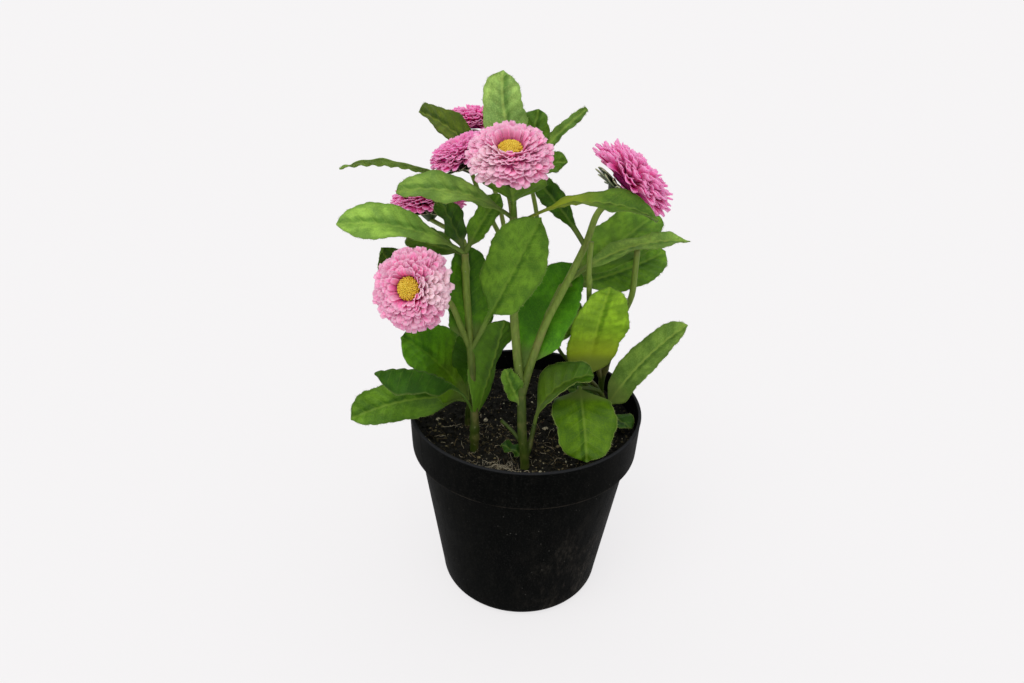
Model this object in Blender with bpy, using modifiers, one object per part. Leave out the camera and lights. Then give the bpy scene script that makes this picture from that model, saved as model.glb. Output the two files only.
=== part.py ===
"""A potted daisy: pink many-petalled blooms on leafy stems, in soil, in a plastic pot.

Everything is in metres with +Z up. The origin is the centre of the pot's base and the front is -Y.
Lengths in the tables below are in millimetres and angles in degrees, and MM turns them into metres.
A heading is measured from +X towards +Y, and a rise is measured up from the horizontal.
"""

import math
import random
from dataclasses import dataclass

import bmesh
import bpy
from mathutils import Matrix, Vector

MM = 0.001
GAP = 0.3

# Pot, a 12 cm nursery pot
RIM_RADIUS = 60.0
POT_HEIGHT = 107.7
BAND_HEIGHT = 21.5
BAND_FOOT_RADIUS = 59.0
BODY_TOP_RADIUS = 55.4
BASE_RADIUS = 42.6
BASE_CORNER = 6.0
CORNER_INSET = 0.85
LEDGE_RISE = 0.6
LEDGE_INSET = 0.8
LEDGE_DROP = 0.3
WALL = 1.7
WALL_STEP_HALF = 2.0
FLOOR_THICKNESS = 2.5
FLOOR_BEVEL = 2.5
FLOOR_BEVEL_HEIGHT = 6.0
LIP_ROUNDING = 0.7
LIP_FLAT_SHARE = 0.6
POT_STEPS = 36
SHARP_ANGLE = 35

# Soil
SOIL_TOP = 96.0
SOIL_COARSE = 0.63
SOIL_FINE = 0.45
SOIL_CALM_POWER = 8
SOIL_RINGS = 5
SOIL_STEPS = 30
FOOT_DEPTH = 14.0
HOLE_CLEARANCE = 0.5
HOLE_SIDES = 10

# Blooms
BLOOM_CORE = ((0.0, 6.0), (6.2, 6.0), (8.2, 4.2), (8.3, 2.0), (6.2, 0.0), (0.0, 0.0))
CORE_STEPS = 10
PETAL_THICKNESS = 0.7
SHOULDER = 0.72
ROOT_SHARE = 0.34
PETAL_SCATTER = 0.04
PETAL_LENGTHS = (0.94, 1.03)
DISC_PROFILE = ((0.0, 9.0), (2.2, 8.8), (4.0, 8.1), (5.1, 7.0), (5.1, 6.3), (0.0, 6.3))
DISC_STEPS = 10
DISC_GRAIN = 0.25
DISC_GRAIN_FROM = 7.5
CALYX_PROFILE = ((0.0, -0.4), (6.0, -0.4), (5.0, -2.4), (1.4, -6.4), (0.0, -6.4))
CALYX_STEPS = 8
CALYX_DEPTH = 5.5
BRACTS = 6

# Stems and leaves
STEM_SPACING = 14.0
COLLAR_SWELL = 1.3
COLLAR_HALF = 1.4
PETIOLE_HALF_WIDTH = 1.2
PETIOLE_THICKNESS = 1.8
BLADE_THICKNESS = 0.7
THINNEST_BLADE = 0.62
MIDRIB_SWELL = 1.25
EDGE_THINNING = 0.45
BLADE_FROM = 0.15
BLADE_OPENS_OVER = 0.3
PETIOLE_ENDS = 0.35
SCALLOP_DEPTH = 0.05
SCALLOPS = 2.5
TIP_ROUNDING = 0.05
MIDRIB_STEPS = 4
ROW_CROWDING = 1.15
BLADE_COLUMNS = (-1.0, -0.5, 0.0, 0.5, 1.0)
SLIM_COLUMNS = (-1.0, 0.0, 1.0)
SLIM_WIDTH = 14.5
SQUARENESS = 2.4
BLUNT_END = 0.994


def direction(heading, rise):
    """The unit vector that points that way."""
    heading = math.radians(heading)
    rise = math.radians(rise)
    return Vector((math.cos(rise) * math.cos(heading), math.cos(rise) * math.sin(heading), math.sin(rise)))


@dataclass
class Whorl:
    """One layer of petals, seen from the bloom's axis."""

    count: int
    root_radius: float
    root_height: float
    length: float
    rise: tuple
    width: float


WHORLS = (
    Whorl(12, 6.6, 2.0, 11.8, (2, -8), 6.9),
    Whorl(11, 6.6, 3.4, 11.0, (22, 8), 6.5),
    Whorl(8, 6.9, 4.5, 8.2, (46, 24), 6.2),
    Whorl(7, 5.7, 5.0, 6.8, (78, 44), 4.6),
)
BRACT = Whorl(BRACTS, 3.6, -1.5, 8.2, (-4, 2), 3.4)


@dataclass
class Bloom:
    """A flower head: where its underside sits, where its axis points, and how far its petals stand up."""

    name: str
    origin: tuple
    heading: float
    rise: float
    scale: float = 1.0
    spin: float = 0.0
    lift: float = 0.0

    def axis(self):
        return direction(self.heading, self.rise)

    def matrix(self):
        """From the bloom's own frame, with +Z along its axis, to the part's frame."""
        turn = self.axis().to_track_quat("Z", "Y").to_matrix().to_4x4()
        place = Matrix.Translation(Vector(self.origin) * MM)
        return place @ turn @ Matrix.Rotation(math.radians(self.spin), 4, "Z") @ Matrix.Scale(self.scale, 4)

    def stalk_end(self, back=CALYX_DEPTH):
        """A point on the bloom's axis, that far under its underside."""
        return tuple(Vector(self.origin) - self.axis() * back * self.scale)


@dataclass
class Stem:
    """A stalk through a few points, tapering from foot to tip, with collars at some heights."""

    points: tuple
    radius: tuple
    collars: tuple = ()


@dataclass
class Leaf:
    """A spatulate leaf: a narrow stalk that widens to a rounded blade, along an arc.

    Neck is the share of its length that is bare stalk. Shoulder is the share of the rest over which
    the blade opens, and widest is where on that rest it is widest.
    """

    base: tuple
    heading: float
    rise: tuple
    sway: float
    length: float
    width: float
    roll: tuple = (0, 0)
    fold: float = 12.0
    wave: float = 1.2
    neck: float = 0.0
    shoulder: float = 0.5
    widest: float = 0.62
    rows: int = 7


BLOOM_TOP = Bloom("top", (-11, -34, 241), -90, 65)
BLOOM_LEFT = Bloom("left", (-48, -48, 191), -113, 24, spin=8)
BLOOM_RIGHT = Bloom("right", (38, -12, 226), 13, 46, scale=1.2, spin=4, lift=12)
BLOOM_BACK = Bloom("back", (-28.5, 47, 237), 110, 78, spin=11)
BLOOM_MIDDLE = Bloom("middle", (-30.5, -2, 233.5), 180, 66, scale=0.9, spin=5, lift=5)
BLOOM_LOW = Bloom("low", (-49, 10, 208), 120, 80, spin=15, lift=12)
BLOOMS = (BLOOM_TOP, BLOOM_LEFT, BLOOM_RIGHT, BLOOM_BACK, BLOOM_MIDDLE, BLOOM_LOW)

# Feet of the stems, on the soil
LEFT_FOOT = (-25, -27)
CENTRE_FOOT = (0, -39.5)
BACK_FOOT = (-2, 20)
RIGHT_FOOT = (42, 20)
FRONT_RIGHT_FOOT = (43, 4)
REAR_LEFT_FOOT = (-30, -4)
FEET = {
    LEFT_FOOT: 2.2,
    CENTRE_FOOT: 2.3,
    BACK_FOOT: 1.7,
    RIGHT_FOOT: 1.7,
    FRONT_RIGHT_FOOT: 1.6,
    REAR_LEFT_FOOT: 1.6,
}

# Places on the stems where branches and leaves leave them
LEFT_FORK = (-25, -27, 115)
LEFT_UPPER_FORK = (-27, -25, 151)
LEFT_NODE = (-30, -20, 197)
CENTRE_FORK = (-3, -36, 134)
CENTRE_NODE = (-9, -28, 216)
CENTRE_SIDE = (7, -28, 168)
CENTRE_SIDE_END = (14, -18, 182)
RIGHT_FORK = (41, 18, 112)


def under_soil(foot):
    """The two lowest points of a stem: the bottom of its hole and the soil's surface."""
    return ((*foot, SOIL_TOP - FOOT_DEPTH + GAP), (*foot, SOIL_TOP + 1))


LEFT_STEMS = (
    Stem((*under_soil(LEFT_FOOT), LEFT_FORK, (-26, -26, 133), LEFT_UPPER_FORK, (-29, -22, 175),
          LEFT_NODE), (2.2, 1.6), (104, 109, 190)),
    Stem((LEFT_UPPER_FORK, (-31, -27, 163), (-36, -31, 178),
          BLOOM_LEFT.stalk_end(14), BLOOM_LEFT.stalk_end()), (1.4, 1.3)),
    Stem((LEFT_NODE, (-32, -14, 202), BLOOM_LOW.stalk_end()), (1.0, 1.1)),
)
LEFT_LEAVES = (
    Leaf(LEFT_FORK, -153, (78, -2), 1, 65, 17, fold=-45, neck=0.3, shoulder=0.3),
    Leaf(LEFT_FORK, 38, (71, 78), -43, 52, 21, roll=(-60, -60), fold=22, shoulder=0.12),
    Leaf(LEFT_UPPER_FORK, -36, (63, 67), 21, 75, 27, roll=(80, 80), neck=0.28, shoulder=0.3, widest=0.55),
    Leaf(LEFT_UPPER_FORK, 96, (82, 67), 24, 48, 24, roll=(10, 10), shoulder=0.3, widest=0.52, rows=6),
    Leaf((-35, -30, 175), -173, (12, 74), -3, 42, 20, roll=(0, -40), rows=6),
    Leaf(LEFT_NODE, -165, (37, -3), 0, 57, 19.5, roll=(-15, -35)),
    Leaf(LEFT_NODE, -16, (65, 58), 17, 31, 10.5, roll=(70, 70), shoulder=0.4, rows=6),
    Leaf(LEFT_NODE, 151, (-2, 9), 0, 31, 15, roll=(-30, -30), rows=5),
    Leaf(LEFT_NODE, 150, (64, 50), -5, 26, 15, shoulder=0.4, rows=5),
)

CENTRE_STEMS = (
    Stem((*under_soil(CENTRE_FOOT), (-2, -38, 116), CENTRE_FORK, (-6, -32, 158), (-8, -30, 180), CENTRE_NODE,
          BLOOM_TOP.stalk_end(14), BLOOM_TOP.stalk_end()), (2.3, 1.6)),
    Stem((CENTRE_FORK, (1, -33, 150), CENTRE_SIDE, (14, -23, 182), (23, -17, 201),
          BLOOM_RIGHT.stalk_end(13), BLOOM_RIGHT.stalk_end()), (2.0, 1.4)),
    Stem((CENTRE_SIDE, (10, -24, 175), CENTRE_SIDE_END), (1.7, 1.6), (171,)),
    Stem(((0, -39.5, 100), (2, -36, 107), (4, -32, 116)), (1.4, 1.1), (106,)),
    Stem(((-1, -38.5, 108), (-6, -35, 113), (-12, -31, 117)), (1.0, 0.8)),
)
CENTRE_LEAVES = (
    Leaf(CENTRE_NODE, -169, (40, -9), 3, 51, 16.5, roll=(-20, -30)),
    Leaf((-9, -28, 214), -92, (80, 20), -4, 27, 27, fold=25, neck=0.35, shoulder=0.35, rows=6),
    Leaf((-8, -28, 212.5), -16, (44, -29), 14, 63, 15, roll=(0, 20), fold=16, neck=0.15),
    Leaf((23, -17, 201), 161, (56, 39), -3, 38, 10.5, roll=(-50, -50), neck=0.1, rows=6),
    Leaf(CENTRE_SIDE_END, 24, (37, -11), -5, 68, 10, roll=(20, 20), widest=0.55),
    Leaf(CENTRE_SIDE_END, 45, (-11, 16), -15, 67, 24, roll=(35, 35)),
    Leaf(CENTRE_SIDE_END, 95, (-58, -75), 0, 40, 24, widest=0.5, rows=6),
    Leaf(CENTRE_SIDE_END, 45, (17, 20), -4, 67, 25, roll=(30, 30), rows=6),
    Leaf((-4.5, -34, 142), 54, (56, 48), -12, 58, 26.5, roll=(20, 22), shoulder=0.4, widest=0.54, rows=6),
    Leaf((4, -32, 116), 18, (86, 1), -12, 40, 19, roll=(0, 15), fold=26, rows=6),
    Leaf((-2, -37, 128), -164, (61, 74), 8, 23, 10, roll=(-70, -70), rows=4),
    Leaf((0, -39, 101), 165, (35, 10), 0, 13, 8, rows=4),
)

BACK_STEMS = (
    Stem((*under_soil(BACK_FOOT), (-1, 17, 135), (-5, 14, 170), (-16, 6, 198), (-23, 1, 213),
          BLOOM_MIDDLE.stalk_end()), (1.7, 1.0), (150,)),
    Stem(((-12, 10, 189), (-15, 18, 203), (-22, 31, 221), BLOOM_BACK.stalk_end()), (1.1, 1.1)),
    Stem(((-2, 16, 150), (2, 10, 180), (2, 5, 205), (-3.5, 5.5, 229)), (1.2, 1.0)),
)
BACK_LEAVES = (
    Leaf((-25, 0, 213.5), -165, (44, -8), 5, 66, 9.5, roll=(60, 0)),
    Leaf((-22, 29, 220), -164, (61, 23), 22, 47, 19, roll=(-40, -40), rows=6),
    Leaf((-4, 6, 228), 172, (54, 94), -9, 44, 19, roll=(-60, -85), widest=0.58),
    Leaf((-4, 4, 228), 62, (73, 66), -1, 27, 17, rows=6),
    Leaf((-4, 4, 228), 0, (57, 39), 0, 38, 5.5, roll=(60, 60), rows=6),
    Leaf((-2, 4, 224), -17, (58, 6), -3, 20, 10, roll=(50, 50), rows=6),
)

RIGHT_STEMS = (
    Stem((*under_soil(RIGHT_FOOT), RIGHT_FORK, (43, 15, 126), (44.5, 8, 148), (46.5, 0, 162), (48.3, -4.6, 173),
          (48.5, -5, 185), (48.5, -4.5, 196)), (1.7, 1.4), (120,)),
    Stem((RIGHT_FORK, (38, 14, 122), (33, 4, 141), (29, -8, 161), (27, -15, 175),
          (26, -19, 184), (25, -22, 195), (25, -23, 205)), (1.4, 1.2), (165, 185)),
    Stem(((41, 18, 104), (37, 11, 113), (31, 4, 122)), (1.3, 1.1)),
)
RIGHT_LEAVES = (
    Leaf((31, 4, 121), -84, (75, 60), 6, 66, 27.5, roll=(180, 175), shoulder=0.16, widest=0.56),
)

FRONT_RIGHT_STEMS = (
    Stem((*under_soil(FRONT_RIGHT_FOOT), (43, 4, 106)), (1.6, 1.4), (101,)),
    Stem(((43, 4, 104), (37, -5, 119), (26, -13, 126)), (1.3, 1.0)),
    Stem(((38, 5, 110), (26, 5, 123), (21, 6, 130), (16, 6, 137), (14, 6, 144), (17, 6, 149), (22, 7, 147),
          (25, 8, 141)), (1.0, 0.7)),
)
FRONT_RIGHT_LEAVES = (
    Leaf((43, 4, 103), -12, (70, 45), 1, 64, 17.5, roll=(50, 40), shoulder=0.2, widest=0.48),
    Leaf((26, -13, 126), -89, (3, -66), 8, 40.5, 29.5, shoulder=0.3, widest=0.52),
    Leaf((43, 4, 104), 187, (50, 10), 0, 25, 11, roll=(-30, -30), rows=5),
    Leaf((43, 4, 99), -63, (28, -8), 13, 20, 13, rows=4),
)

REAR_LEFT_STEMS = (
    Stem((*under_soil(REAR_LEFT_FOOT), (-29, -5, 112)), (1.6, 1.3), (104,)),
)
REAR_LEFT_LEAVES = (
    Leaf((-29, -5, 111), -148, (28, -10), 2, 64, 23, roll=(-30, -30), widest=0.54),
    Leaf((-29, -5, 110), -165, (66, 38), 9, 53, 35, roll=(-45, -45), shoulder=0.35, widest=0.56),
    Leaf((-29, -5, 110), 80, (80, 95), 3, 40, 18, rows=6),
)


def mix(pair, along):
    """The value that lies that far from the first to the second of a pair."""
    return pair[0] + (pair[1] - pair[0]) * along


def smooth_step(value):
    value = min(max(value, 0.0), 1.0)
    return value * value * (3 - 2 * value)


def new_collection(name):
    collection = bpy.data.collections.new(name)
    bpy.context.scene.collection.children.link(collection)
    return collection


def new_material(name, colour, roughness, metallic=0.0):
    material = bpy.data.materials.new(name)
    material.use_nodes = True
    shader = material.node_tree.nodes["Principled BSDF"]
    shader.inputs["Base Color"].default_value = (*colour, 1.0)
    shader.inputs["Roughness"].default_value = roughness
    shader.inputs["Metallic"].default_value = metallic
    return material


def new_object(name, mesh, collection, material=None):
    obj = bpy.data.objects.new(name, mesh)
    collection.objects.link(obj)
    if material:
        mesh.materials.append(material)
    return obj


def mesh_of(name, points, faces):
    mesh = bpy.data.meshes.new(name)
    mesh.from_pydata([tuple(point) for point in points], [], faces)
    mesh.update()
    return mesh


def applied(obj, face_out=True):
    """The object with its modifiers applied, or a curve turned into a closed mesh."""
    graph = bpy.context.evaluated_depsgraph_get()
    mesh = bpy.data.meshes.new_from_object(obj.evaluated_get(graph))
    made = bpy.data.objects.new(obj.name, mesh)
    for collection in obj.users_collection:
        collection.objects.link(made)
    made.matrix_world = obj.matrix_world
    name = obj.name
    bpy.data.objects.remove(obj)
    made.name = name
    work = bmesh.new()
    work.from_mesh(mesh)
    bmesh.ops.remove_doubles(work, verts=work.verts, dist=0.002 * MM)
    if face_out:
        bmesh.ops.recalc_face_normals(work, faces=work.faces)
    work.to_mesh(mesh)
    work.free()
    return made


def turned(name, profile, steps, collection, matrix=None):
    """A turned solid. The profile's (radius, height) points run down its outer side, in mm."""
    points = [(radius * MM, 0.0, height * MM) for radius, height in profile]
    mesh = bpy.data.meshes.new(name)
    mesh.from_pydata(points, [(i, i + 1) for i in range(len(points) - 1)], [])
    obj = new_object(name, mesh, collection)
    screw = obj.modifiers.new("turn", "SCREW")
    screw.steps = steps
    screw.render_steps = steps
    screw.use_merge_vertices = True
    screw.merge_threshold = 0.01 * MM
    made = applied(obj)
    if matrix:
        made.data.transform(matrix)
    return made


def united(name, pieces, collection, material):
    """All the pieces of a collection joined into one object, and the collection removed.

    The exact solver leaves scraps at the thin tips of the leaves, so this is the manifold one.
    """
    objects = list(pieces.objects)
    first = objects[0]
    pieces.objects.unlink(first)
    collection.objects.link(first)
    union = first.modifiers.new("join", "BOOLEAN")
    union.operation = "UNION"
    union.solver = "MANIFOLD"
    union.operand_type = "COLLECTION"
    union.collection = pieces
    joined = applied(first, face_out=False)
    joined.name = name
    joined.data.name = name
    joined.data.materials.clear()
    joined.data.materials.append(material)
    for obj in objects[1:]:
        bpy.data.objects.remove(obj)
    bpy.data.collections.remove(pieces)
    return joined


def arc(centre, radius, start, end, count):
    """Points round part of a circle in the (radius, height) plane."""
    angles = [math.radians(start + (end - start) * i / (count - 1)) for i in range(count)]
    return [(centre[0] + radius * math.cos(angle), centre[1] + radius * math.sin(angle)) for angle in angles]


def pot_profile():
    """Outer side from the lip to the base, then the inner side back up to the lip."""
    band_foot = POT_HEIGHT - BAND_HEIGHT
    taper = (BODY_TOP_RADIUS - BASE_RADIUS) / band_foot
    corner = arc((BASE_RADIUS - BASE_CORNER * CORNER_INSET, BASE_CORNER), BASE_CORNER, -8, -90, 3)
    lip_inner = RIM_RADIUS - WALL
    floor_radius = BASE_RADIUS - WALL - FLOOR_BEVEL
    outer = [
        (RIM_RADIUS - LIP_ROUNDING, POT_HEIGHT),
        (RIM_RADIUS, POT_HEIGHT - LIP_ROUNDING),
        (BAND_FOOT_RADIUS, band_foot + LEDGE_RISE),
        (BAND_FOOT_RADIUS - LEDGE_INSET, band_foot),
        (BODY_TOP_RADIUS, band_foot - LEDGE_DROP),
        *corner,
        (0.0, 0.0),
    ]
    inner = [
        (0.0, FLOOR_THICKNESS),
        (floor_radius, FLOOR_THICKNESS),
        (floor_radius + FLOOR_BEVEL + FLOOR_BEVEL_HEIGHT * taper, FLOOR_THICKNESS + FLOOR_BEVEL_HEIGHT),
        (BODY_TOP_RADIUS - WALL, band_foot - WALL_STEP_HALF),
        (BAND_FOOT_RADIUS - WALL, band_foot + WALL_STEP_HALF),
        (lip_inner, POT_HEIGHT - LIP_ROUNDING),
        (lip_inner + LIP_ROUNDING * LIP_FLAT_SHARE, POT_HEIGHT),
    ]
    return outer, inner


def make_pot(parts, material):
    outer, inner = pot_profile()
    loop = [*inner, *outer]
    pot = turned("pot", loop, POT_STEPS, parts)
    pot.data.materials.append(material)
    pot.data.shade_smooth()
    pot.data.set_sharp_from_angle(angle=math.radians(SHARP_ANGLE))
    return pot


def inner_radius(height):
    """The pot's inner radius at a height, from its inner profile."""
    inner = pot_profile()[1]
    for (low_radius, low), (high_radius, high) in zip(inner[1:], inner[2:]):
        if low <= height <= high:
            return mix((low_radius, high_radius), (height - low) / (high - low))
    return inner[1][0]


def soil_height(x, y):
    """Relief of the soil over its mean level, in mm, at a place in mm: waves about 30 and 8 mm long."""
    coarse = math.sin(0.19 * x + 1.3) * math.cos(0.23 * y - 0.4)
    fine = math.sin(0.71 * x - 0.62 * y) + math.cos(0.83 * y + 0.45 * x + 2.0)
    return SOIL_COARSE * coarse + SOIL_FINE * fine


def make_soil(parts, cutters, material):
    """A plug that fills the pot, with a rough top and a plain hole for each stem's foot."""
    band_foot = POT_HEIGHT - BAND_HEIGHT
    levels = (band_foot + WALL_STEP_HALF, band_foot - WALL_STEP_HALF, FLOOR_THICKNESS + FLOOR_BEVEL_HEIGHT)
    edge = inner_radius(SOIL_TOP) - GAP
    top = [(edge * ring / SOIL_RINGS, SOIL_TOP) for ring in range(SOIL_RINGS + 1)]
    side = [(inner_radius(level) - GAP, level) for level in levels]
    floor = FLOOR_THICKNESS + GAP
    soil = turned("soil", [*top, *side, (inner_radius(FLOOR_THICKNESS) - GAP, floor), (0.0, floor)],
                  SOIL_STEPS, parts)
    for vertex in soil.data.vertices:
        if vertex.co.z > (SOIL_TOP - GAP) * MM:
            calm = 1 - (vertex.co.xy.length / MM / edge) ** SOIL_CALM_POWER
            vertex.co.z += soil_height(vertex.co.x / MM, vertex.co.y / MM) * calm * MM
    soil.data.materials.append(material)
    for number, (foot, radius) in enumerate(FEET.items(), 1):
        bpy.ops.mesh.primitive_cylinder_add(
            vertices=HOLE_SIDES,
            radius=(radius + HOLE_CLEARANCE) * MM,
            depth=2 * FOOT_DEPTH * MM,
            location=(foot[0] * MM, foot[1] * MM, SOIL_TOP * MM),
        )
        cutter = bpy.context.object
        cutter.name = f"foot_hole_{number}"
        for owner in list(cutter.users_collection):
            owner.objects.unlink(cutter)
        cutters.objects.link(cutter)
        cutter.hide_render = True
        cutter.display_type = "WIRE"
        cut = soil.modifiers.new(cutter.name, "BOOLEAN")
        cut.operation = "DIFFERENCE"
        cut.object = cutter
    return soil


def curve_through(points):
    """Points at even steps on a smooth curve through the given ones, which it keeps, in mm."""
    points = [Vector(point) for point in points]
    ends = [2 * points[0] - points[1], *points, 2 * points[-1] - points[-2]]
    path = []
    for before, start, end, after in zip(ends, ends[1:], ends[2:], ends[3:]):
        count = max(1, round((end - start).length / STEM_SPACING))
        for step in range(count):
            t = step / count
            path.append(0.5 * (2 * start + (end - before) * t
                               + (2 * before - 5 * start + 4 * end - after) * t * t
                               + (3 * start - before - 3 * end + after) * t ** 3))
    return [*path, points[-1]]


def with_collars(path, collars):
    """The path with three more points at each collar, and a swelling of the radius there."""
    points = [(point, 1.0) for point in path]
    for height in collars:
        for index in range(len(points) - 1):
            start, end = points[index][0], points[index + 1][0]
            if start.z < height <= end.z:
                middle = start.lerp(end, (height - start.z) / (end.z - start.z))
                along = (end - start).normalized() * COLLAR_HALF
                ring = [(middle - along, 1.0), (middle, COLLAR_SWELL), (middle + along, 1.0)]
                points[index + 1:index + 1] = ring
                break
    return points


def make_stem(name, stem, pieces):
    """A round stalk, as a curve with a bevel turned into a mesh."""
    path = with_collars(curve_through(stem.points), stem.collars)
    curve = bpy.data.curves.new(name, "CURVE")
    curve.dimensions = "3D"
    curve.bevel_depth = MM
    curve.bevel_resolution = 1
    curve.use_fill_caps = True
    spline = curve.splines.new("POLY")
    spline.points.add(len(path) - 1)
    for index, (point, swell) in enumerate(path):
        spline.points[index].co = (*(point * MM), 1.0)
        spline.points[index].radius = mix(stem.radius, index / (len(path) - 1)) * swell
    obj = bpy.data.objects.new(name, curve)
    pieces.objects.link(obj)
    return applied(obj)


def blade_half_width(leaf, along):
    """Half the leaf's width at a share of its length: a slim stalk, then a rounded spoon."""
    blade = max(along - leaf.neck, 0.0) / (1 - leaf.neck)
    power = math.log(0.5) / math.log(leaf.widest)
    reach = abs(2 * min(blade, BLUNT_END) ** power - 1)
    spoon = (1 - reach ** SQUARENESS) ** (1 / SQUARENESS) * smooth_step(blade / leaf.shoulder)
    return max(PETIOLE_HALF_WIDTH, leaf.width / 2 * spoon)


def midrib(leaf, rows):
    """Points and frames along the leaf's midrib: (share of the length, place, along, side, up)."""
    place = Vector(leaf.base)
    found = []
    shares = [row_share(row / rows) for row in range(rows + 1)]
    previous = 0.0
    for share in shares:
        for step in range(MIDRIB_STEPS):
            at = previous + (share - previous) * (step + 0.5) / MIDRIB_STEPS
            ahead = direction(leaf.heading + leaf.sway * at, mix(leaf.rise, at))
            place = place + ahead * leaf.length * (share - previous) / MIDRIB_STEPS
        previous = share
        heading = math.radians(leaf.heading + leaf.sway * share)
        ahead = direction(leaf.heading + leaf.sway * share, mix(leaf.rise, share))
        side = Vector((math.sin(heading), -math.cos(heading), 0.0))
        turn = Matrix.Rotation(math.radians(mix(leaf.roll, share)), 3, ahead)
        side = turn @ side
        found.append((share, place.copy(), ahead, side, side.cross(ahead)))
    return found


def row_share(row):
    """Rows lie closer together towards the tip, where the outline turns."""
    return math.sin(math.pi / 2 * row) ** ROW_CROWDING


def make_leaf(name, leaf, number, pieces):
    """A closed blade with a waved edge, split into the same triangles above and below."""
    draw = random.Random(number)
    phases = [draw.uniform(0, 2 * math.pi) for _ in range(4)]
    cycles = draw.uniform(1.6, 2.4)
    columns = SLIM_COLUMNS if leaf.width < SLIM_WIDTH else BLADE_COLUMNS
    upper = []
    lower = []
    for share, place, ahead, side, up in midrib(leaf, leaf.rows):
        half = blade_half_width(leaf, share)
        open_blade = smooth_step((share - BLADE_FROM) / BLADE_OPENS_OVER)
        thickness = mix((PETIOLE_THICKNESS, BLADE_THICKNESS), smooth_step(share / PETIOLE_ENDS))
        for column in columns:
            out = abs(column)
            phase = phases[0 if column < 0 else 1]
            notch = phases[2 if column < 0 else 3]
            ripple = leaf.wave * open_blade * out ** 1.5 * math.sin(phase + cycles * 2 * math.pi * share)
            scallop = 1 + SCALLOP_DEPTH * out * open_blade * math.sin(notch + SCALLOPS * 2 * math.pi * share)
            lift = half * out * math.tan(math.radians(leaf.fold)) * open_blade
            round_tip = TIP_ROUNDING * leaf.width * (1 - out ** 2) * share ** 8
            centre = place + side * column * half * scallop + up * (lift + ripple) + ahead * round_tip
            wall = max(thickness * (MIDRIB_SWELL - EDGE_THINNING * out), THINNEST_BLADE) / 2
            upper.append(centre + up * wall)
            lower.append(centre - up * wall)
    return new_object(name, blade_mesh(name, upper, lower, len(columns)), pieces)


def blade_mesh(name, upper, lower, columns):
    """A mesh between two sheets of points that lie row by row."""
    rows = len(upper) // columns
    shift = len(upper)
    faces = []
    for row in range(rows - 1):
        for column in range(columns - 1):
            a = row * columns + column
            b = a + 1
            c = b + columns
            d = a + columns
            near, far = ((a, b, c), (a, c, d)) if column < columns // 2 else ((a, b, d), (b, c, d))
            faces += [near, far]
            faces += [tuple(shift + i for i in reversed(near)), tuple(shift + i for i in reversed(far))]
    left = [row * columns for row in range(rows)]
    right = [row * columns + columns - 1 for row in range(rows)]
    edge = [*range(columns), *right[1:], *reversed(range(shift - columns, shift - 1)), *reversed(left[1:-1])]
    for here, ahead in zip(edge, [*edge[1:], edge[0]]):
        faces += [(ahead, here, shift + here), (ahead, shift + here, shift + ahead)]
    return mesh_of(name, [point * MM for point in [*upper, *lower]], faces)


def make_calyx(name, bloom, pieces):
    """The green cup under a bloom, with its bracts."""
    turned(name, CALYX_PROFILE, CALYX_STEPS, pieces, bloom.matrix())
    for number in range(BRACTS):
        make_petal(f"{name}_bract_{number}", BRACT, 360 * number / BRACTS, bloom.matrix(), pieces)


def make_petal(name, whorl, turn, matrix, pieces, length_factor=1.0, lift=0.0):
    """One strap from inside the bloom's core outwards: narrow at its root, with a blunt tip."""
    out = Vector((math.cos(math.radians(turn)), math.sin(math.radians(turn)), 0.0))
    side = Vector((out.y, -out.x, 0.0))
    root = out * whorl.root_radius + Vector((0, 0, whorl.root_height))
    strap = arm(out, whorl.rise[0] + lift) * whorl.length * length_factor * SHOULDER
    end = arm(out, whorl.rise[1] + lift) * whorl.length * length_factor * (1 - SHOULDER)
    half = side * whorl.width / 2
    outline = (root - half * ROOT_SHARE, root + half * ROOT_SHARE, root + strap + half,
               root + strap + end, root + strap - half)
    near = side.cross(strap.normalized()) * PETAL_THICKNESS / 2
    points = [point + near for point in outline] + [point - near for point in outline]
    shift = len(outline)
    upper = ((0, 1, 2, 4), (4, 2, 3))
    faces = [*upper, *(tuple(shift + i for i in reversed(face)) for face in upper)]
    for here in range(shift):
        ahead = (here + 1) % shift
        faces.append((ahead, here, shift + here, shift + ahead))
    mesh = mesh_of(name, [point * MM for point in points], faces)
    mesh.transform(matrix)
    return new_object(name, mesh, pieces)


def arm(out, rise):
    """The unit vector at that rise over the outward direction."""
    rise = math.radians(rise)
    return out * math.cos(rise) + Vector((0, 0, math.sin(rise)))


def make_bloom(bloom, parts, material):
    """The petals of a bloom in their layers, round a small core that they stand out of."""
    draw = random.Random(f"bloom {bloom.name}")
    pieces = new_collection(f"{bloom.name}_petals")
    turned("core", BLOOM_CORE, CORE_STEPS, pieces, bloom.matrix())
    for layer, whorl in enumerate(WHORLS):
        step = 360 / whorl.count
        for number in range(whorl.count):
            turn = step * (number + 0.5 * (layer % 2)) + draw.uniform(-PETAL_SCATTER, PETAL_SCATTER) * step
            make_petal(f"petal_{layer}_{number}", whorl, turn, bloom.matrix(), pieces,
                       draw.uniform(*PETAL_LENGTHS), bloom.lift * (1 - layer / len(WHORLS)))
    return united(f"bloom_{bloom.name}", pieces, parts, material)


def make_disc(bloom, parts, material):
    """The bloom's domed middle, with the grain of its florets."""
    disc = turned(f"disc_{bloom.name}", DISC_PROFILE, DISC_STEPS, parts)
    for number, vertex in enumerate(disc.data.vertices):
        if vertex.co.z > DISC_GRAIN_FROM * MM:
            vertex.co += vertex.co.normalized() * DISC_GRAIN * MM * (1 if number % 2 else -1)
    disc.data.transform(bloom.matrix())
    disc.data.materials.append(material)
    return disc


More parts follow.
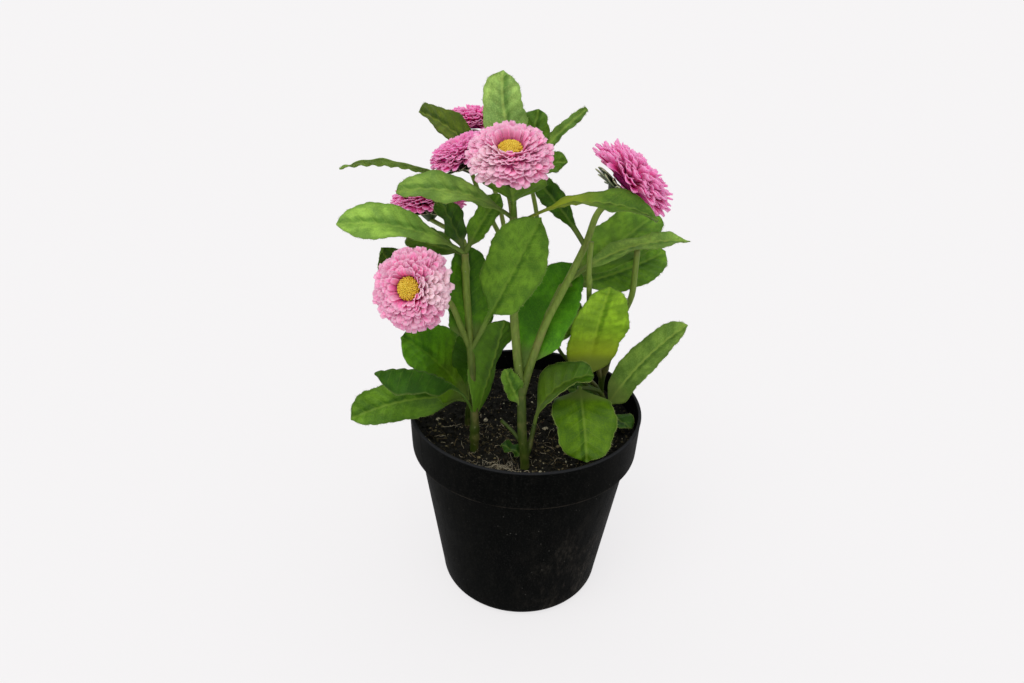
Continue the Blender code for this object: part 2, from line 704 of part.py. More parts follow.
def make_leafy_stem(name, stems, leaves, blooms, parts, material):
    """One growth: its stalks, its leaves and the calyx of each of its blooms, all joined."""
    pieces = new_collection(f"{name}_pieces")
    for number, stem in enumerate(stems):
        make_stem(f"{name}_stalk_{number}", stem, pieces)
    for number, leaf in enumerate(leaves):
        make_leaf(f"{name}_leaf_{number}", leaf, f"{name} {number}", pieces)
    for bloom in blooms:
        make_calyx(f"calyx_{bloom.name}", bloom, pieces)
    return united(name, pieces, parts, material)


def main():
    for obj in list(bpy.data.objects):
        bpy.data.objects.remove(obj)
    parts = new_collection("potted_daisy")
    cutters = new_collection("cutters")
    black_plastic = new_material("black_plastic", (0.012, 0.012, 0.013), 0.55)
    dark_soil = new_material("dark_soil", (0.02, 0.014, 0.01), 0.95)
    leaf_green = new_material("leaf_green", (0.12, 0.26, 0.05), 0.5)
    petal_pink = new_material("petal_pink", (0.80, 0.25, 0.50), 0.6)
    disc_yellow = new_material("disc_yellow", (0.70, 0.48, 0.04), 0.75)
    make_pot(parts, black_plastic)
    make_soil(parts, cutters, dark_soil)
    make_leafy_stem("stem_left", LEFT_STEMS, LEFT_LEAVES, (BLOOM_LEFT, BLOOM_LOW), parts, leaf_green)
    make_leafy_stem("stem_centre", CENTRE_STEMS, CENTRE_LEAVES, (BLOOM_TOP, BLOOM_RIGHT), parts, leaf_green)
    make_leafy_stem("stem_back", BACK_STEMS, BACK_LEAVES, (BLOOM_MIDDLE, BLOOM_BACK), parts, leaf_green)
    make_leafy_stem("stem_right", RIGHT_STEMS, RIGHT_LEAVES, (), parts, leaf_green)
    make_leafy_stem("shoot_right", FRONT_RIGHT_STEMS, FRONT_RIGHT_LEAVES, (), parts, leaf_green)
    make_leafy_stem("shoot_left", REAR_LEFT_STEMS, REAR_LEFT_LEAVES, (), parts, leaf_green)
    for bloom in BLOOMS:
        make_bloom(bloom, parts, petal_pink)
        make_disc(bloom, parts, disc_yellow)


if __name__ == "__main__":
    main()
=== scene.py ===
"""Looks of the potted daisy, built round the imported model.

Lengths in the tables are in millimetres and angles in degrees, in the model's own frame: +Z up, front -Y.
Stems, leaves and blooms have the places and sizes that the part's own source gives them. The profiles
and the rules that shape them are finer here, so discs, calyxes and bloom cores differ a little.
"""

import math
import random
from collections import defaultdict
from dataclasses import dataclass

import bpy
import numpy as np
from mathutils import Matrix, Vector, noise


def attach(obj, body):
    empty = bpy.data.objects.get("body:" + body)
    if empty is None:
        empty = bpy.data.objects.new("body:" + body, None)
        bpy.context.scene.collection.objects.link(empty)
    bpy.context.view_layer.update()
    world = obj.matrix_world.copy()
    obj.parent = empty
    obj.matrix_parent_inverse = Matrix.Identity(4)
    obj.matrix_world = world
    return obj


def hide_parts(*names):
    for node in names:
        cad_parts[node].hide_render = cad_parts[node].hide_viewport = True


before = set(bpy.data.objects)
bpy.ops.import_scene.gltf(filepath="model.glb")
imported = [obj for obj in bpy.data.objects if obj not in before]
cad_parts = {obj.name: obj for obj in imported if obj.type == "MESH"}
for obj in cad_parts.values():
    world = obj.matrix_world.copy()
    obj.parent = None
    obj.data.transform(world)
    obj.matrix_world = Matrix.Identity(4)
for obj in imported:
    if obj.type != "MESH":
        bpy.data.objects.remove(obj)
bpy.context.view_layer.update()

MM = 0.001
GAP = 0.3
GOLDEN_ANGLE = math.radians(137.508)

# Camera, solved from the pot's ellipses
PITCH = math.radians(27.3)
CAMERA_ROLL = math.radians(1.78)
AIM = Vector((0.0, 0.0, 107.67))
CAMERA_BACK = 385.73
CAMERA_SIDE = -7.02
CAMERA_RAISE = 32.07
LENS = 26.0
SENSOR = 36.0

# Studio, with the floor's reach in metres
FLOOR_REACH = 60.0
FLOOR_GLOW = 0.797
WORLD_STRENGTH = 0.95
KEY_STRENGTH = 1.35
KEY_SPREAD = math.radians(40)
KEY_FROM = (-118, 58)

# Pot
RIM_RADIUS = 60.0
POT_HEIGHT = 107.7
BAND_HEIGHT = 21.5
BAND_FOOT_RADIUS = 59.0
BODY_TOP_RADIUS = 55.4
BASE_RADIUS = 42.6
BASE_CORNER = 6.0
WALL = 1.7
FLOOR_THICKNESS = 2.5
FLOOR_CORNER_WIDTH = 2.5
FLOOR_CORNER_HEIGHT = 6
LIP_ROUNDING = 0.7
POT_STEPS = 144
POT_SHARP_ANGLE = math.radians(50)
# Height of the ledge under the band, where a thin highlight line is painted
LEDGE_LINE = 86.1

# Soil
SOIL_TOP = 96.0
SOIL_COARSE = 0.63
SOIL_FINE = 0.45
SOIL_GRAIN = 0.9
SOIL_CALM_POWER = 8
SOIL_RINGS = 70
SOIL_STEPS = 150
FOOT_DEPTH = 14.0
CRUMBS = 6000
CRUMB_SIZES = (0.2, 0.22, 1.5)
FIBRES = 620
FIBRE_LENGTHS = (1.2, 2.4, 11)
FIBRE_RADII = (0.07, 0.17)
FIBRE_SIDES = 5
TANGLE = 90
TANGLE_PLACE = (-13, -42)
TANGLE_SPREAD = (7.0, 3.4)
FIBRE_POINTS = 8

# Blooms
DISC_PROFILE = ((0.0, 8.6), (2.2, 8.4), (4.0, 7.7), (4.9, 6.7), (5.0, 6.3), (0.0, 6.3))
CORE_PROFILE = ((0, 6.0), (5.4, 6.0), (7.0, 7.2), (9.0, 7.2), (11.0, 6.2), (12.4, 5.4), (11.6, 4.6),
                (7.4, 3.2), (6.0, 0.8), (0, 0.8))
CORE_HINGE = 6.0
CORE_STEPS = 40
CALYX_PROFILE = ((0.0, -0.4), (6.0, -0.4), (5.6, -1.6), (4.2, -3.3), (1.6, -6.0), (1.3, -6.4), (0.0, -6.4))
CALYX_DEPTH = 5.5
CALYX_STEPS = 24
BRACT_WIDTH = 4.8
BRACT_WALL = 0.2
DISC_STEPS = 32
FLORETS = 150
FLORET_REACH = 4.75
PETAL_LAYERS = 12
PETAL_COUNTS = (42, 23)
PETAL_WIDTHS = (3.3, 2.5)
PETAL_ROWS = 9
PETAL_COLUMNS = 5
PETAL_WALL = 0.14
PETAL_CUPS = (0.1, 0.55)
PETAL_LEAN = 20

# Stems and leaves
STEM_SPACING = 14.0
PATH_SPACING = 1.6
STEM_SIDES = 14
COLLAR_SWELL = 0.3
COLLAR_REACH = 1.6
SCAR_DEPTH = 0.1
SCAR_REACH = 0.7
PETIOLE_HALF_WIDTH = 1.2
SQUARENESS = 2.4
BLUNT_END = 0.999
LEAF_ROWS = 54
LEAF_COLUMNS = 23
VEIN_SPACING = 5.2
VEIN_SLANT = 0.9
VEIN_BOW = 0.02
QUILT_HEIGHT = 0.42
CHANNEL_DEPTH = 0.45
RIB_WIDTH = 1.0
RIB_HEIGHT = 0.4
STALK_WALL = 0.85
BLADE_WALL = 0.26
EDGE_WAVE = 1.2
EDGE_FRILL = 0.4
FRILL_TURN_PER_MM = 0.62
EDGE_SCALLOP = 0.05
TIP_CURVE = 0.05
TOOTH_SPACING = 4.2
TOOTH_DEPTH = 0.6
HAIRS_PER_MM = 3.2
HAIRS_FROM = 0.2
HAIR_RADIUS = 0.07
HAIR_ROOT = 0.15
HAIR_LENGTHS = (0.5, 1.3)


def srgb(red, green, blue):
    """A display colour, 0 to 255, as the linear values that a shader takes."""
    return tuple(((v / 255 + 0.055) / 1.055) ** 2.4 if v > 10 else v / 255 / 12.92
                 for v in (red, green, blue))


def paint(red, green, blue):
    """The same, with the alpha that a colour socket takes."""
    return (*srgb(red, green, blue), 1)


LEAF_TONES = {
    "pale": srgb(142, 172, 92),
    "fresh": srgb(118, 150, 62),
    "bright": srgb(128, 164, 38),
    "bright_mid": srgb(82, 118, 4),
    "mid": srgb(86, 122, 30),
    "deep": srgb(58, 96, 8),
    "olive": srgb(84, 102, 22),
    "dark": srgb(44, 82, 6),
}
HAIR_TONE = srgb(150, 168, 104)
SOIL_TONE = srgb(23, 22, 16)
TANGLE_TONE = srgb(196, 186, 160)


def direction(heading, rise):
    """The unit vector at a heading round +Z and a rise over the level."""
    heading = math.radians(heading)
    rise = math.radians(rise)
    return Vector((math.cos(rise) * math.cos(heading), math.cos(rise) * math.sin(heading), math.sin(rise)))


@dataclass
class Whorl:
    """How petals or bracts leave a bloom's axis. Rise is their slope at the root and at the tip."""

    root_radius: float
    root_height: float
    length: float
    rise: tuple


WHORLS = (
    Whorl(6.6, 2.0, 11.8, (2, -8)),
    Whorl(6.6, 3.4, 11.0, (22, 8)),
    Whorl(6.9, 4.5, 8.2, (46, 24)),
    Whorl(5.7, 5.0, 6.8, (78, 44)),
)


@dataclass
class Bloom:
    """A flower head: its place, where its axis points and its colours.

    Lift raises all its petals, and droop lowers those of its lowest layers.
    """

    name: str
    origin: tuple
    heading: float
    rise: float
    scale: float = 1.0
    spin: float = 0.0
    lift: float = 0.0
    droop: float = 0.0
    tone: tuple = srgb(255, 146, 208)
    root_tone: tuple = srgb(252, 102, 186)
    tip_tone: tuple = srgb(255, 226, 240)
    pale_turn: float = 0.0
    pale_share: float = 0.25

    def axis(self):
        return direction(self.heading, self.rise)

    def matrix(self):
        turn = self.axis().to_track_quat("Z", "Y").to_matrix().to_4x4()
        place = Matrix.Translation(Vector(self.origin))
        return place @ turn @ Matrix.Rotation(math.radians(self.spin), 4, "Z") @ Matrix.Scale(self.scale, 4)

    def stalk_end(self, back=CALYX_DEPTH):
        return tuple(Vector(self.origin) - self.axis() * back * self.scale)


@dataclass
class Stem:
    """A stalk through a few points, tapering from foot to tip, with collars at some heights."""

    points: tuple
    radius: tuple
    collars: tuple = ()


@dataclass
class Leaf:
    """A spatulate leaf: a narrow stalk that widens to a rounded blade, along an arc.

    Neck is the share of its length that is bare stalk. Shoulder is the share of the rest over which
    the blade opens, and widest is where on that rest it is widest. The last five give its colours. Light
    scales
    the tone: partly the leaf's own tone, partly painted light that brightens leaves lying in shade.
    """

    base: tuple
    heading: float
    rise: tuple
    sway: float
    length: float
    width: float
    roll: tuple = (0, 0)
    fold: float = 12.0
    neck: float = 0.0
    shoulder: float = 0.5
    widest: float = 0.62
    tone: str = "mid"
    light: float = 1.0
    yellow: float = 0.0
    rib: float = 0.5
    pale_rim: float = 0.3


DEEP_PINK = {"tone": srgb(255, 130, 212), "root_tone": srgb(246, 72, 178), "tip_tone": srgb(255, 204, 236),
             "pale_share": 0.05}

BLOOM_TOP = Bloom("top", (-11, -34, 241), -90, 65, tone=srgb(255, 166, 216), root_tone=srgb(254, 122, 198),
                  pale_turn=225, pale_share=0.8)
BLOOM_LEFT = Bloom("left", (-48, -48, 191), -113, 24, spin=8, pale_turn=0, pale_share=1.1)
BLOOM_RIGHT = Bloom("right", (38, -12, 226), 13, 46, scale=1.2, spin=4, lift=12, droop=8, **DEEP_PINK)
BLOOM_BACK = Bloom("back", (-28.5, 47, 237), 110, 78, spin=11, **DEEP_PINK)
BLOOM_MIDDLE = Bloom("middle", (-30.5, -2, 233.5), 180, 66, scale=0.9, spin=5, lift=5, **DEEP_PINK)
BLOOM_LOW = Bloom("low", (-49, 10, 208), 120, 80, spin=15, lift=12, droop=20, **DEEP_PINK)
BLOOMS = (BLOOM_TOP, BLOOM_LEFT, BLOOM_RIGHT, BLOOM_BACK, BLOOM_MIDDLE, BLOOM_LOW)

# Feet of the stems, on the soil
LEFT_FOOT = (-25, -27)
CENTRE_FOOT = (0, -39.5)
BACK_FOOT = (-2, 20)
RIGHT_FOOT = (42, 20)
FRONT_RIGHT_FOOT = (43, 4)
REAR_LEFT_FOOT = (-30, -4)

# Places on the stems where branches and leaves leave them
LEFT_FORK = (-25, -27, 115)
LEFT_UPPER_FORK = (-27, -25, 151)
LEFT_NODE = (-30, -20, 197)
CENTRE_FORK = (-3, -36, 134)
CENTRE_NODE = (-9, -28, 216)
CENTRE_SIDE = (7, -28, 168)
CENTRE_SIDE_END = (14, -18, 182)
RIGHT_FORK = (41, 18, 112)


def under_soil(foot):
    """The two lowest points of a stem: the bottom of its hole and the soil's surface."""
    return ((*foot, SOIL_TOP - FOOT_DEPTH + GAP), (*foot, SOIL_TOP + 1))


LEFT_STEMS = (
    Stem((*under_soil(LEFT_FOOT), LEFT_FORK, (-26, -26, 133), LEFT_UPPER_FORK, (-29, -22, 175),
          LEFT_NODE), (2.2, 1.6), (104, 109, 190)),
    Stem((LEFT_UPPER_FORK, (-31, -27, 163), (-36, -31, 178),
          BLOOM_LEFT.stalk_end(14), BLOOM_LEFT.stalk_end()), (1.4, 1.3)),
    Stem((LEFT_NODE, (-32, -14, 202), BLOOM_LOW.stalk_end()), (1.0, 1.1)),
)
LEFT_LEAVES = (
    Leaf(LEFT_FORK, -153, (78, -2), 1, 65, 17, fold=-45, neck=0.3, shoulder=0.3,
         tone="dark", light=1.25, rib=0.3),
    Leaf(LEFT_FORK, 38, (71, 78), -43, 52, 21, roll=(-60, -60), fold=22, shoulder=0.12,
         tone="deep", light=1.7, rib=1.0),
    Leaf(LEFT_UPPER_FORK, -36, (63, 67), 21, 75, 27, roll=(80, 80), neck=0.28, shoulder=0.3, widest=0.55,
         tone="mid", light=1.27, rib=0.35),
    Leaf(LEFT_UPPER_FORK, 96, (82, 67), 24, 48, 24, roll=(10, 10), shoulder=0.3, widest=0.52,
         tone="deep", light=1.6, rib=0.3),
    Leaf((-35, -30, 175), -173, (12, 74), -3, 42, 20, roll=(0, -40), tone="mid"),
    Leaf(LEFT_NODE, -165, (37, -3), 0, 57, 19.5, roll=(-15, -35), tone="fresh", light=1.49, rib=0.3),
    Leaf(LEFT_NODE, -16, (65, 58), 17, 31, 10.5, roll=(70, 70), shoulder=0.4, tone="mid", light=1.5),
    Leaf(LEFT_NODE, 151, (-2, 9), 0, 31, 15, roll=(-30, -30), tone="mid"),
    Leaf(LEFT_NODE, 150, (64, 50), -5, 26, 15, shoulder=0.4, tone="deep"),
)

CENTRE_STEMS = (
    Stem((*under_soil(CENTRE_FOOT), (-2, -38, 116), CENTRE_FORK, (-6, -32, 158), (-8, -30, 180), CENTRE_NODE,
          BLOOM_TOP.stalk_end(14), BLOOM_TOP.stalk_end()), (2.3, 1.6)),
    Stem((CENTRE_FORK, (1, -33, 150), CENTRE_SIDE, (14, -23, 182), (23, -17, 201),
          BLOOM_RIGHT.stalk_end(13), BLOOM_RIGHT.stalk_end()), (2.0, 1.4)),
    Stem((CENTRE_SIDE, (10, -24, 175), CENTRE_SIDE_END), (1.7, 1.6), (171,)),
    Stem(((0, -39.5, 100), (2, -36, 107), (4, -32, 116)), (1.4, 1.1), (106,)),
    Stem(((-1, -38.5, 108), (-6, -35, 113), (-12, -31, 117)), (1.0, 0.8)),
)
CENTRE_LEAVES = (
    Leaf(CENTRE_NODE, -169, (40, -9), 3, 51, 16.5, roll=(-20, -30), tone="fresh", light=1.09, rib=0.4),
    Leaf((-9, -28, 214), -92, (80, 20), -4, 27, 27, fold=25, neck=0.35, shoulder=0.35,
         tone="mid", light=1.2, rib=0.6),
    Leaf((-8, -28, 212.5), -16, (44, -29), 14, 63, 15, roll=(0, 20), fold=16, neck=0.15,
         tone="mid", light=0.95, yellow=0.9, rib=0.7),
    Leaf((23, -17, 201), 161, (56, 39), -3, 38, 10.5, roll=(-50, -50), neck=0.1, tone="deep", light=1.1),
    Leaf(CENTRE_SIDE_END, 24, (37, -11), -5, 68, 10, roll=(20, 20), widest=0.55,
         tone="fresh", light=1.38, rib=0.7),
    Leaf(CENTRE_SIDE_END, 45, (-11, 16), -15, 67, 24, roll=(35, 35), tone="mid", light=1.59, rib=0.9),
    Leaf(CENTRE_SIDE_END, 95, (-58, -75), 0, 40, 24, widest=0.5, tone="mid", light=1.1, rib=0.4),
    Leaf(CENTRE_SIDE_END, 45, (17, 20), -4, 67, 25, roll=(30, 30), tone="mid", light=1.49, rib=0.6),
    Leaf((-4.5, -34, 142), 54, (56, 48), -12, 58, 26.5, roll=(20, 22), shoulder=0.4, widest=0.54,
         tone="dark", light=3.25, rib=0.3),
    Leaf((4, -32, 116), 18, (86, 1), -12, 40, 19, roll=(0, 15), fold=26,
         tone="deep", yellow=0.1, rib=0.5, pale_rim=1.0),
    Leaf((-2, -37, 128), -164, (61, 74), 8, 23, 10, roll=(-70, -70), tone="mid", light=1.2),
    Leaf((0, -39, 101), 165, (35, 10), 0, 13, 8, tone="dark"),
)

BACK_STEMS = (
    Stem((*under_soil(BACK_FOOT), (-1, 17, 135), (-5, 14, 170), (-16, 6, 198), (-23, 1, 213),
          BLOOM_MIDDLE.stalk_end()), (1.7, 1.0), (150,)),
    Stem(((-12, 10, 189), (-15, 18, 203), (-22, 31, 221), BLOOM_BACK.stalk_end()), (1.1, 1.1)),
    Stem(((-2, 16, 150), (2, 10, 180), (2, 5, 205), (-3.5, 5.5, 229)), (1.2, 1.0)),
)
BACK_LEAVES = (
    Leaf((-25, 0, 213.5), -165, (44, -8), 5, 66, 9.5, roll=(60, 0), tone="fresh"),
    Leaf((-22, 29, 220), -164, (61, 23), 22, 47, 19, roll=(-40, -40), tone="olive", light=1.32, rib=0.7),
    Leaf((-4, 6, 228), 172, (54, 94), -9, 44, 19, roll=(-60, -85), widest=0.58,
         tone="pale", light=1.32, rib=0.6),
    Leaf((-4, 4, 228), 62, (73, 66), -1, 27, 17, tone="mid", light=1.1),
    Leaf((-4, 4, 228), 0, (57, 39), 0, 38, 5.5, roll=(60, 60), tone="fresh", light=1.1),
    Leaf((-2, 4, 224), -17, (58, 6), -3, 20, 10, roll=(50, 50), tone="mid", light=1.1),
)

RIGHT_STEMS = (
    Stem((*under_soil(RIGHT_FOOT), RIGHT_FORK, (43, 15, 126), (44.5, 8, 148), (46.5, 0, 162),
          (48.3, -4.6, 173), (48.5, -5, 185), (48.5, -4.5, 196)), (1.7, 1.4), (120,)),
    Stem((RIGHT_FORK, (38, 14, 122), (33, 4, 141), (29, -8, 161), (27, -15, 175),
          (26, -19, 184), (25, -22, 195), (25, -23, 205)), (1.4, 1.2), (165, 185)),
    Stem(((41, 18, 104), (37, 11, 113), (31, 4, 122)), (1.3, 1.1)),
)
RIGHT_LEAVES = (
    Leaf((31, 4, 121), -84, (75, 60), 6, 66, 27.5, roll=(180, 175), shoulder=0.16, widest=0.56,
         tone="bright", light=1.35, yellow=0.8, rib=0.6),
)

FRONT_RIGHT_STEMS = (
    Stem((*under_soil(FRONT_RIGHT_FOOT), (43, 4, 106)), (1.6, 1.4), (101,)),
    Stem(((43, 4, 104), (37, -5, 119), (26, -13, 126)), (1.3, 1.0)),
    Stem(((38, 5, 110), (26, 5, 123), (21, 6, 130), (16, 6, 137), (14, 6, 144), (17, 6, 149), (22, 7, 147),
          (25, 8, 141)), (1.0, 0.7)),
)
FRONT_RIGHT_LEAVES = (
    Leaf((43, 4, 103), -12, (70, 45), 1, 64, 17.5, roll=(50, 40), shoulder=0.2, widest=0.48,
         tone="fresh", light=1.1, rib=1.0),
    Leaf((26, -13, 126), -89, (3, -66), 8, 40.5, 29.5, shoulder=0.3, widest=0.52,
         tone="bright_mid", light=0.95, rib=0.5, pale_rim=1.0),
    Leaf((43, 4, 104), 187, (50, 10), 0, 25, 11, roll=(-30, -30), tone="deep"),
    Leaf((43, 4, 99), -63, (28, -8), 13, 20, 13, tone="dark", pale_rim=1.0),
)

REAR_LEFT_STEMS = (
    Stem((*under_soil(REAR_LEFT_FOOT), (-29, -5, 112)), (1.6, 1.3), (104,)),
)
REAR_LEFT_LEAVES = (
    Leaf((-29, -5, 111), -148, (28, -10), 2, 64, 23, roll=(-30, -30), widest=0.54,
         tone="mid", light=1.25, rib=0.7),
    Leaf((-29, -5, 110), -165, (66, 38), 9, 53, 35, roll=(-45, -45), shoulder=0.35, widest=0.56,
         tone="deep", light=2.4, yellow=0.2, rib=0.3),
    Leaf((-29, -5, 110), 80, (80, 95), 3, 40, 18, tone="deep", light=1.4),
)

GROWTHS = (
    ("stem_left", LEFT_STEMS, LEFT_LEAVES, (BLOOM_LEFT, BLOOM_LOW)),
    ("stem_centre", CENTRE_STEMS, CENTRE_LEAVES, (BLOOM_TOP, BLOOM_RIGHT)),
    ("stem_back", BACK_STEMS, BACK_LEAVES, (BLOOM_MIDDLE, BLOOM_BACK)),
    ("stem_right", RIGHT_STEMS, RIGHT_LEAVES, ()),
    ("shoot_right", FRONT_RIGHT_STEMS, FRONT_RIGHT_LEAVES, ()),
    ("shoot_left", REAR_LEFT_STEMS, REAR_LEFT_LEAVES, ()),
)


def mix(pair, along):
    """The value at a share of the way from the first of a pair to the second."""
    return pair[0] + (pair[1] - pair[0]) * along


def polar(radius, turn):
    return radius * math.cos(turn), radius * math.sin(turn)


def smooth_step(value):
    value = np.clip(value, 0.0, 1.0)
    return value * value * (3 - 2 * value)


class Shape:
    """Points, faces and named values, gathered for one mesh. Points are in millimetres."""

    def __init__(self):
        self.points = []
        self.faces = []
        self.values = defaultdict(list)
        self.count = 0

    def add(self, points, faces, material=0, **values):
        """Adds points (n, 3) and a list of (m, 3) or (m, 4) arrays of faces that number them from 0.

        A value has a row for each point or is one for all of them. Where none is given it is zero.
        """
        points = np.asarray(points, float).reshape(-1, 3)
        end = self.count + len(points)
        self.points.append(points)
        self.faces += [(np.asarray(group, int) + self.count, material) for group in faces if len(group)]
        for name, value in values.items():
            self.values[name].append((self.count, end, np.asarray(value, float)))
        self.count = end

    def mesh(self, name, materials, smooth=True):
        points = np.concatenate(self.points) * MM
        corners = np.concatenate([group.ravel() for group, _ in self.faces])
        sizes = np.concatenate([np.full(len(group), group.shape[1]) for group, _ in self.faces])
        slots = np.concatenate([np.full(len(group), slot) for group, slot in self.faces])
        mesh = bpy.data.meshes.new(name)
        mesh.vertices.add(len(points))
        mesh.vertices.foreach_set("co", points.ravel())
        mesh.loops.add(len(corners))
        mesh.loops.foreach_set("vertex_index", corners)
        mesh.polygons.add(len(sizes))
        mesh.polygons.foreach_set("loop_start", np.concatenate([[0], np.cumsum(sizes)[:-1]]))
        mesh.polygons.foreach_set("material_index", slots)
        mesh.polygons.foreach_set("use_smooth", np.full(len(sizes), smooth))
        for value_name, groups in self.values.items():
            wide = 3 if groups[0][2].shape[-1:] == (3,) else 1
            filled = np.zeros((len(points), wide))
            for start, end, value in groups:
                filled[start:end] = value.reshape(-1, wide)
            attribute = mesh.attributes.new(value_name, "FLOAT_VECTOR" if wide == 3 else "FLOAT", "POINT")
            attribute.data.foreach_set("vector" if wide == 3 else "value", filled.ravel())
        for material in materials:
            mesh.materials.append(material)
        mesh.update()
        mesh.validate()
        return mesh


def new_piece(name, shape, materials, nodes=(), smooth=True):
    """A piece of the object, made from a shape, that rides on the only body."""
    obj = bpy.data.objects.new(name, shape.mesh(name, materials, smooth))
    bpy.context.scene.collection.objects.link(obj)
    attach(obj, "root")
    if nodes:
        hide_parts(*nodes)
    return obj


def grid_faces(rows, columns, start=0, closed=False):
    """Faces over points that lie row by row. A closed grid joins its last column to its first."""
    row = np.arange(rows - 1)[:, None] * columns
    column = np.arange(columns if closed else columns - 1)[None, :]
    ahead = (column + 1) % columns
    corners = np.stack([row + column, row + ahead, row + columns + ahead, row + columns + column], axis=-1)
    return corners.reshape(-1, 4) + start


def blade_faces(rows, columns):
    """Faces of a closed blade: an upper sheet, a lower one turned over, and the edge between them."""
    sheet = grid_faces(rows, columns)
    shift = rows * columns
    left = np.arange(rows) * columns
    right = left + columns - 1
    edge = np.concatenate([np.arange(columns), right[1:], np.arange(shift - 2, shift - columns - 1, -1),
                           left[1:-1][::-1]])
    ahead = np.roll(edge, -1)
    wall = np.stack([ahead, edge, shift + edge, shift + ahead], axis=-1)
    return [sheet, sheet[:, ::-1] + shift, wall]


def turned(profile, steps):
    """Points and faces of a turned solid, from (radius, height) points on and off its axis."""
    profile = np.array(profile)
    angle = np.arange(steps) * 2 * math.pi / steps
    ring = np.stack([np.cos(angle), np.sin(angle)], axis=-1)
    flat = profile[:, None, :1] * ring[None]
    high = np.broadcast_to(profile[:, None, 1:], (len(profile), steps, 1))
    points = np.concatenate([flat, high], axis=-1)
    return points.reshape(-1, 3), [grid_faces(len(profile), steps, closed=True)[:, ::-1]]


def moved(points, matrix):
    """The points after a 4 by 4 matrix."""
    matrix = np.array(matrix)
    return np.asarray(points) @ matrix[:3, :3].T + matrix[:3, 3]


def blade_half_width(leaf, along):
    """Half the leaf's width at a share of its length: a slim stalk, then a rounded spoon."""
    blade = np.maximum(along - leaf.neck, 0.0) / (1 - leaf.neck)
    power = math.log(0.5) / math.log(leaf.widest)
    reach = np.abs(2 * np.minimum(blade, BLUNT_END) ** power - 1)
    spoon = (1 - reach ** SQUARENESS) ** (1 / SQUARENESS) * smooth_step(blade / leaf.shoulder)
    return np.maximum(PETIOLE_HALF_WIDTH, leaf.width / 2 * spoon)


def midrib(leaf, shares):
    """Places and frames along the leaf's midrib: (place, along, side, up), each an array of rows."""
    fine = np.linspace(0, 1, 401)
    middle = (fine[1:] + fine[:-1]) / 2

    def ahead_at(share):
        heading = np.radians(leaf.heading + leaf.sway * share)
        rise = np.radians(mix(leaf.rise, share))
        return np.stack([np.cos(rise) * np.cos(heading), np.cos(rise) * np.sin(heading), np.sin(rise)],
                        axis=-1)

    steps = ahead_at(middle) * leaf.length / len(middle)
    places = np.array(leaf.base) + np.concatenate([np.zeros((1, 3)), np.cumsum(steps, axis=0)])
    place = np.stack([np.interp(shares, fine, places[:, axis]) for axis in range(3)], axis=-1)
    ahead = ahead_at(shares)
    heading = np.radians(leaf.heading + leaf.sway * shares)
    level = np.stack([np.sin(heading), -np.cos(heading), np.zeros(len(shares))], axis=-1)
    above = np.cross(level, ahead)
    roll = np.radians(mix(leaf.roll, shares))[:, None]
    side = level * np.cos(roll) - above * np.sin(roll)
    return place, ahead, side, np.cross(side, ahead)


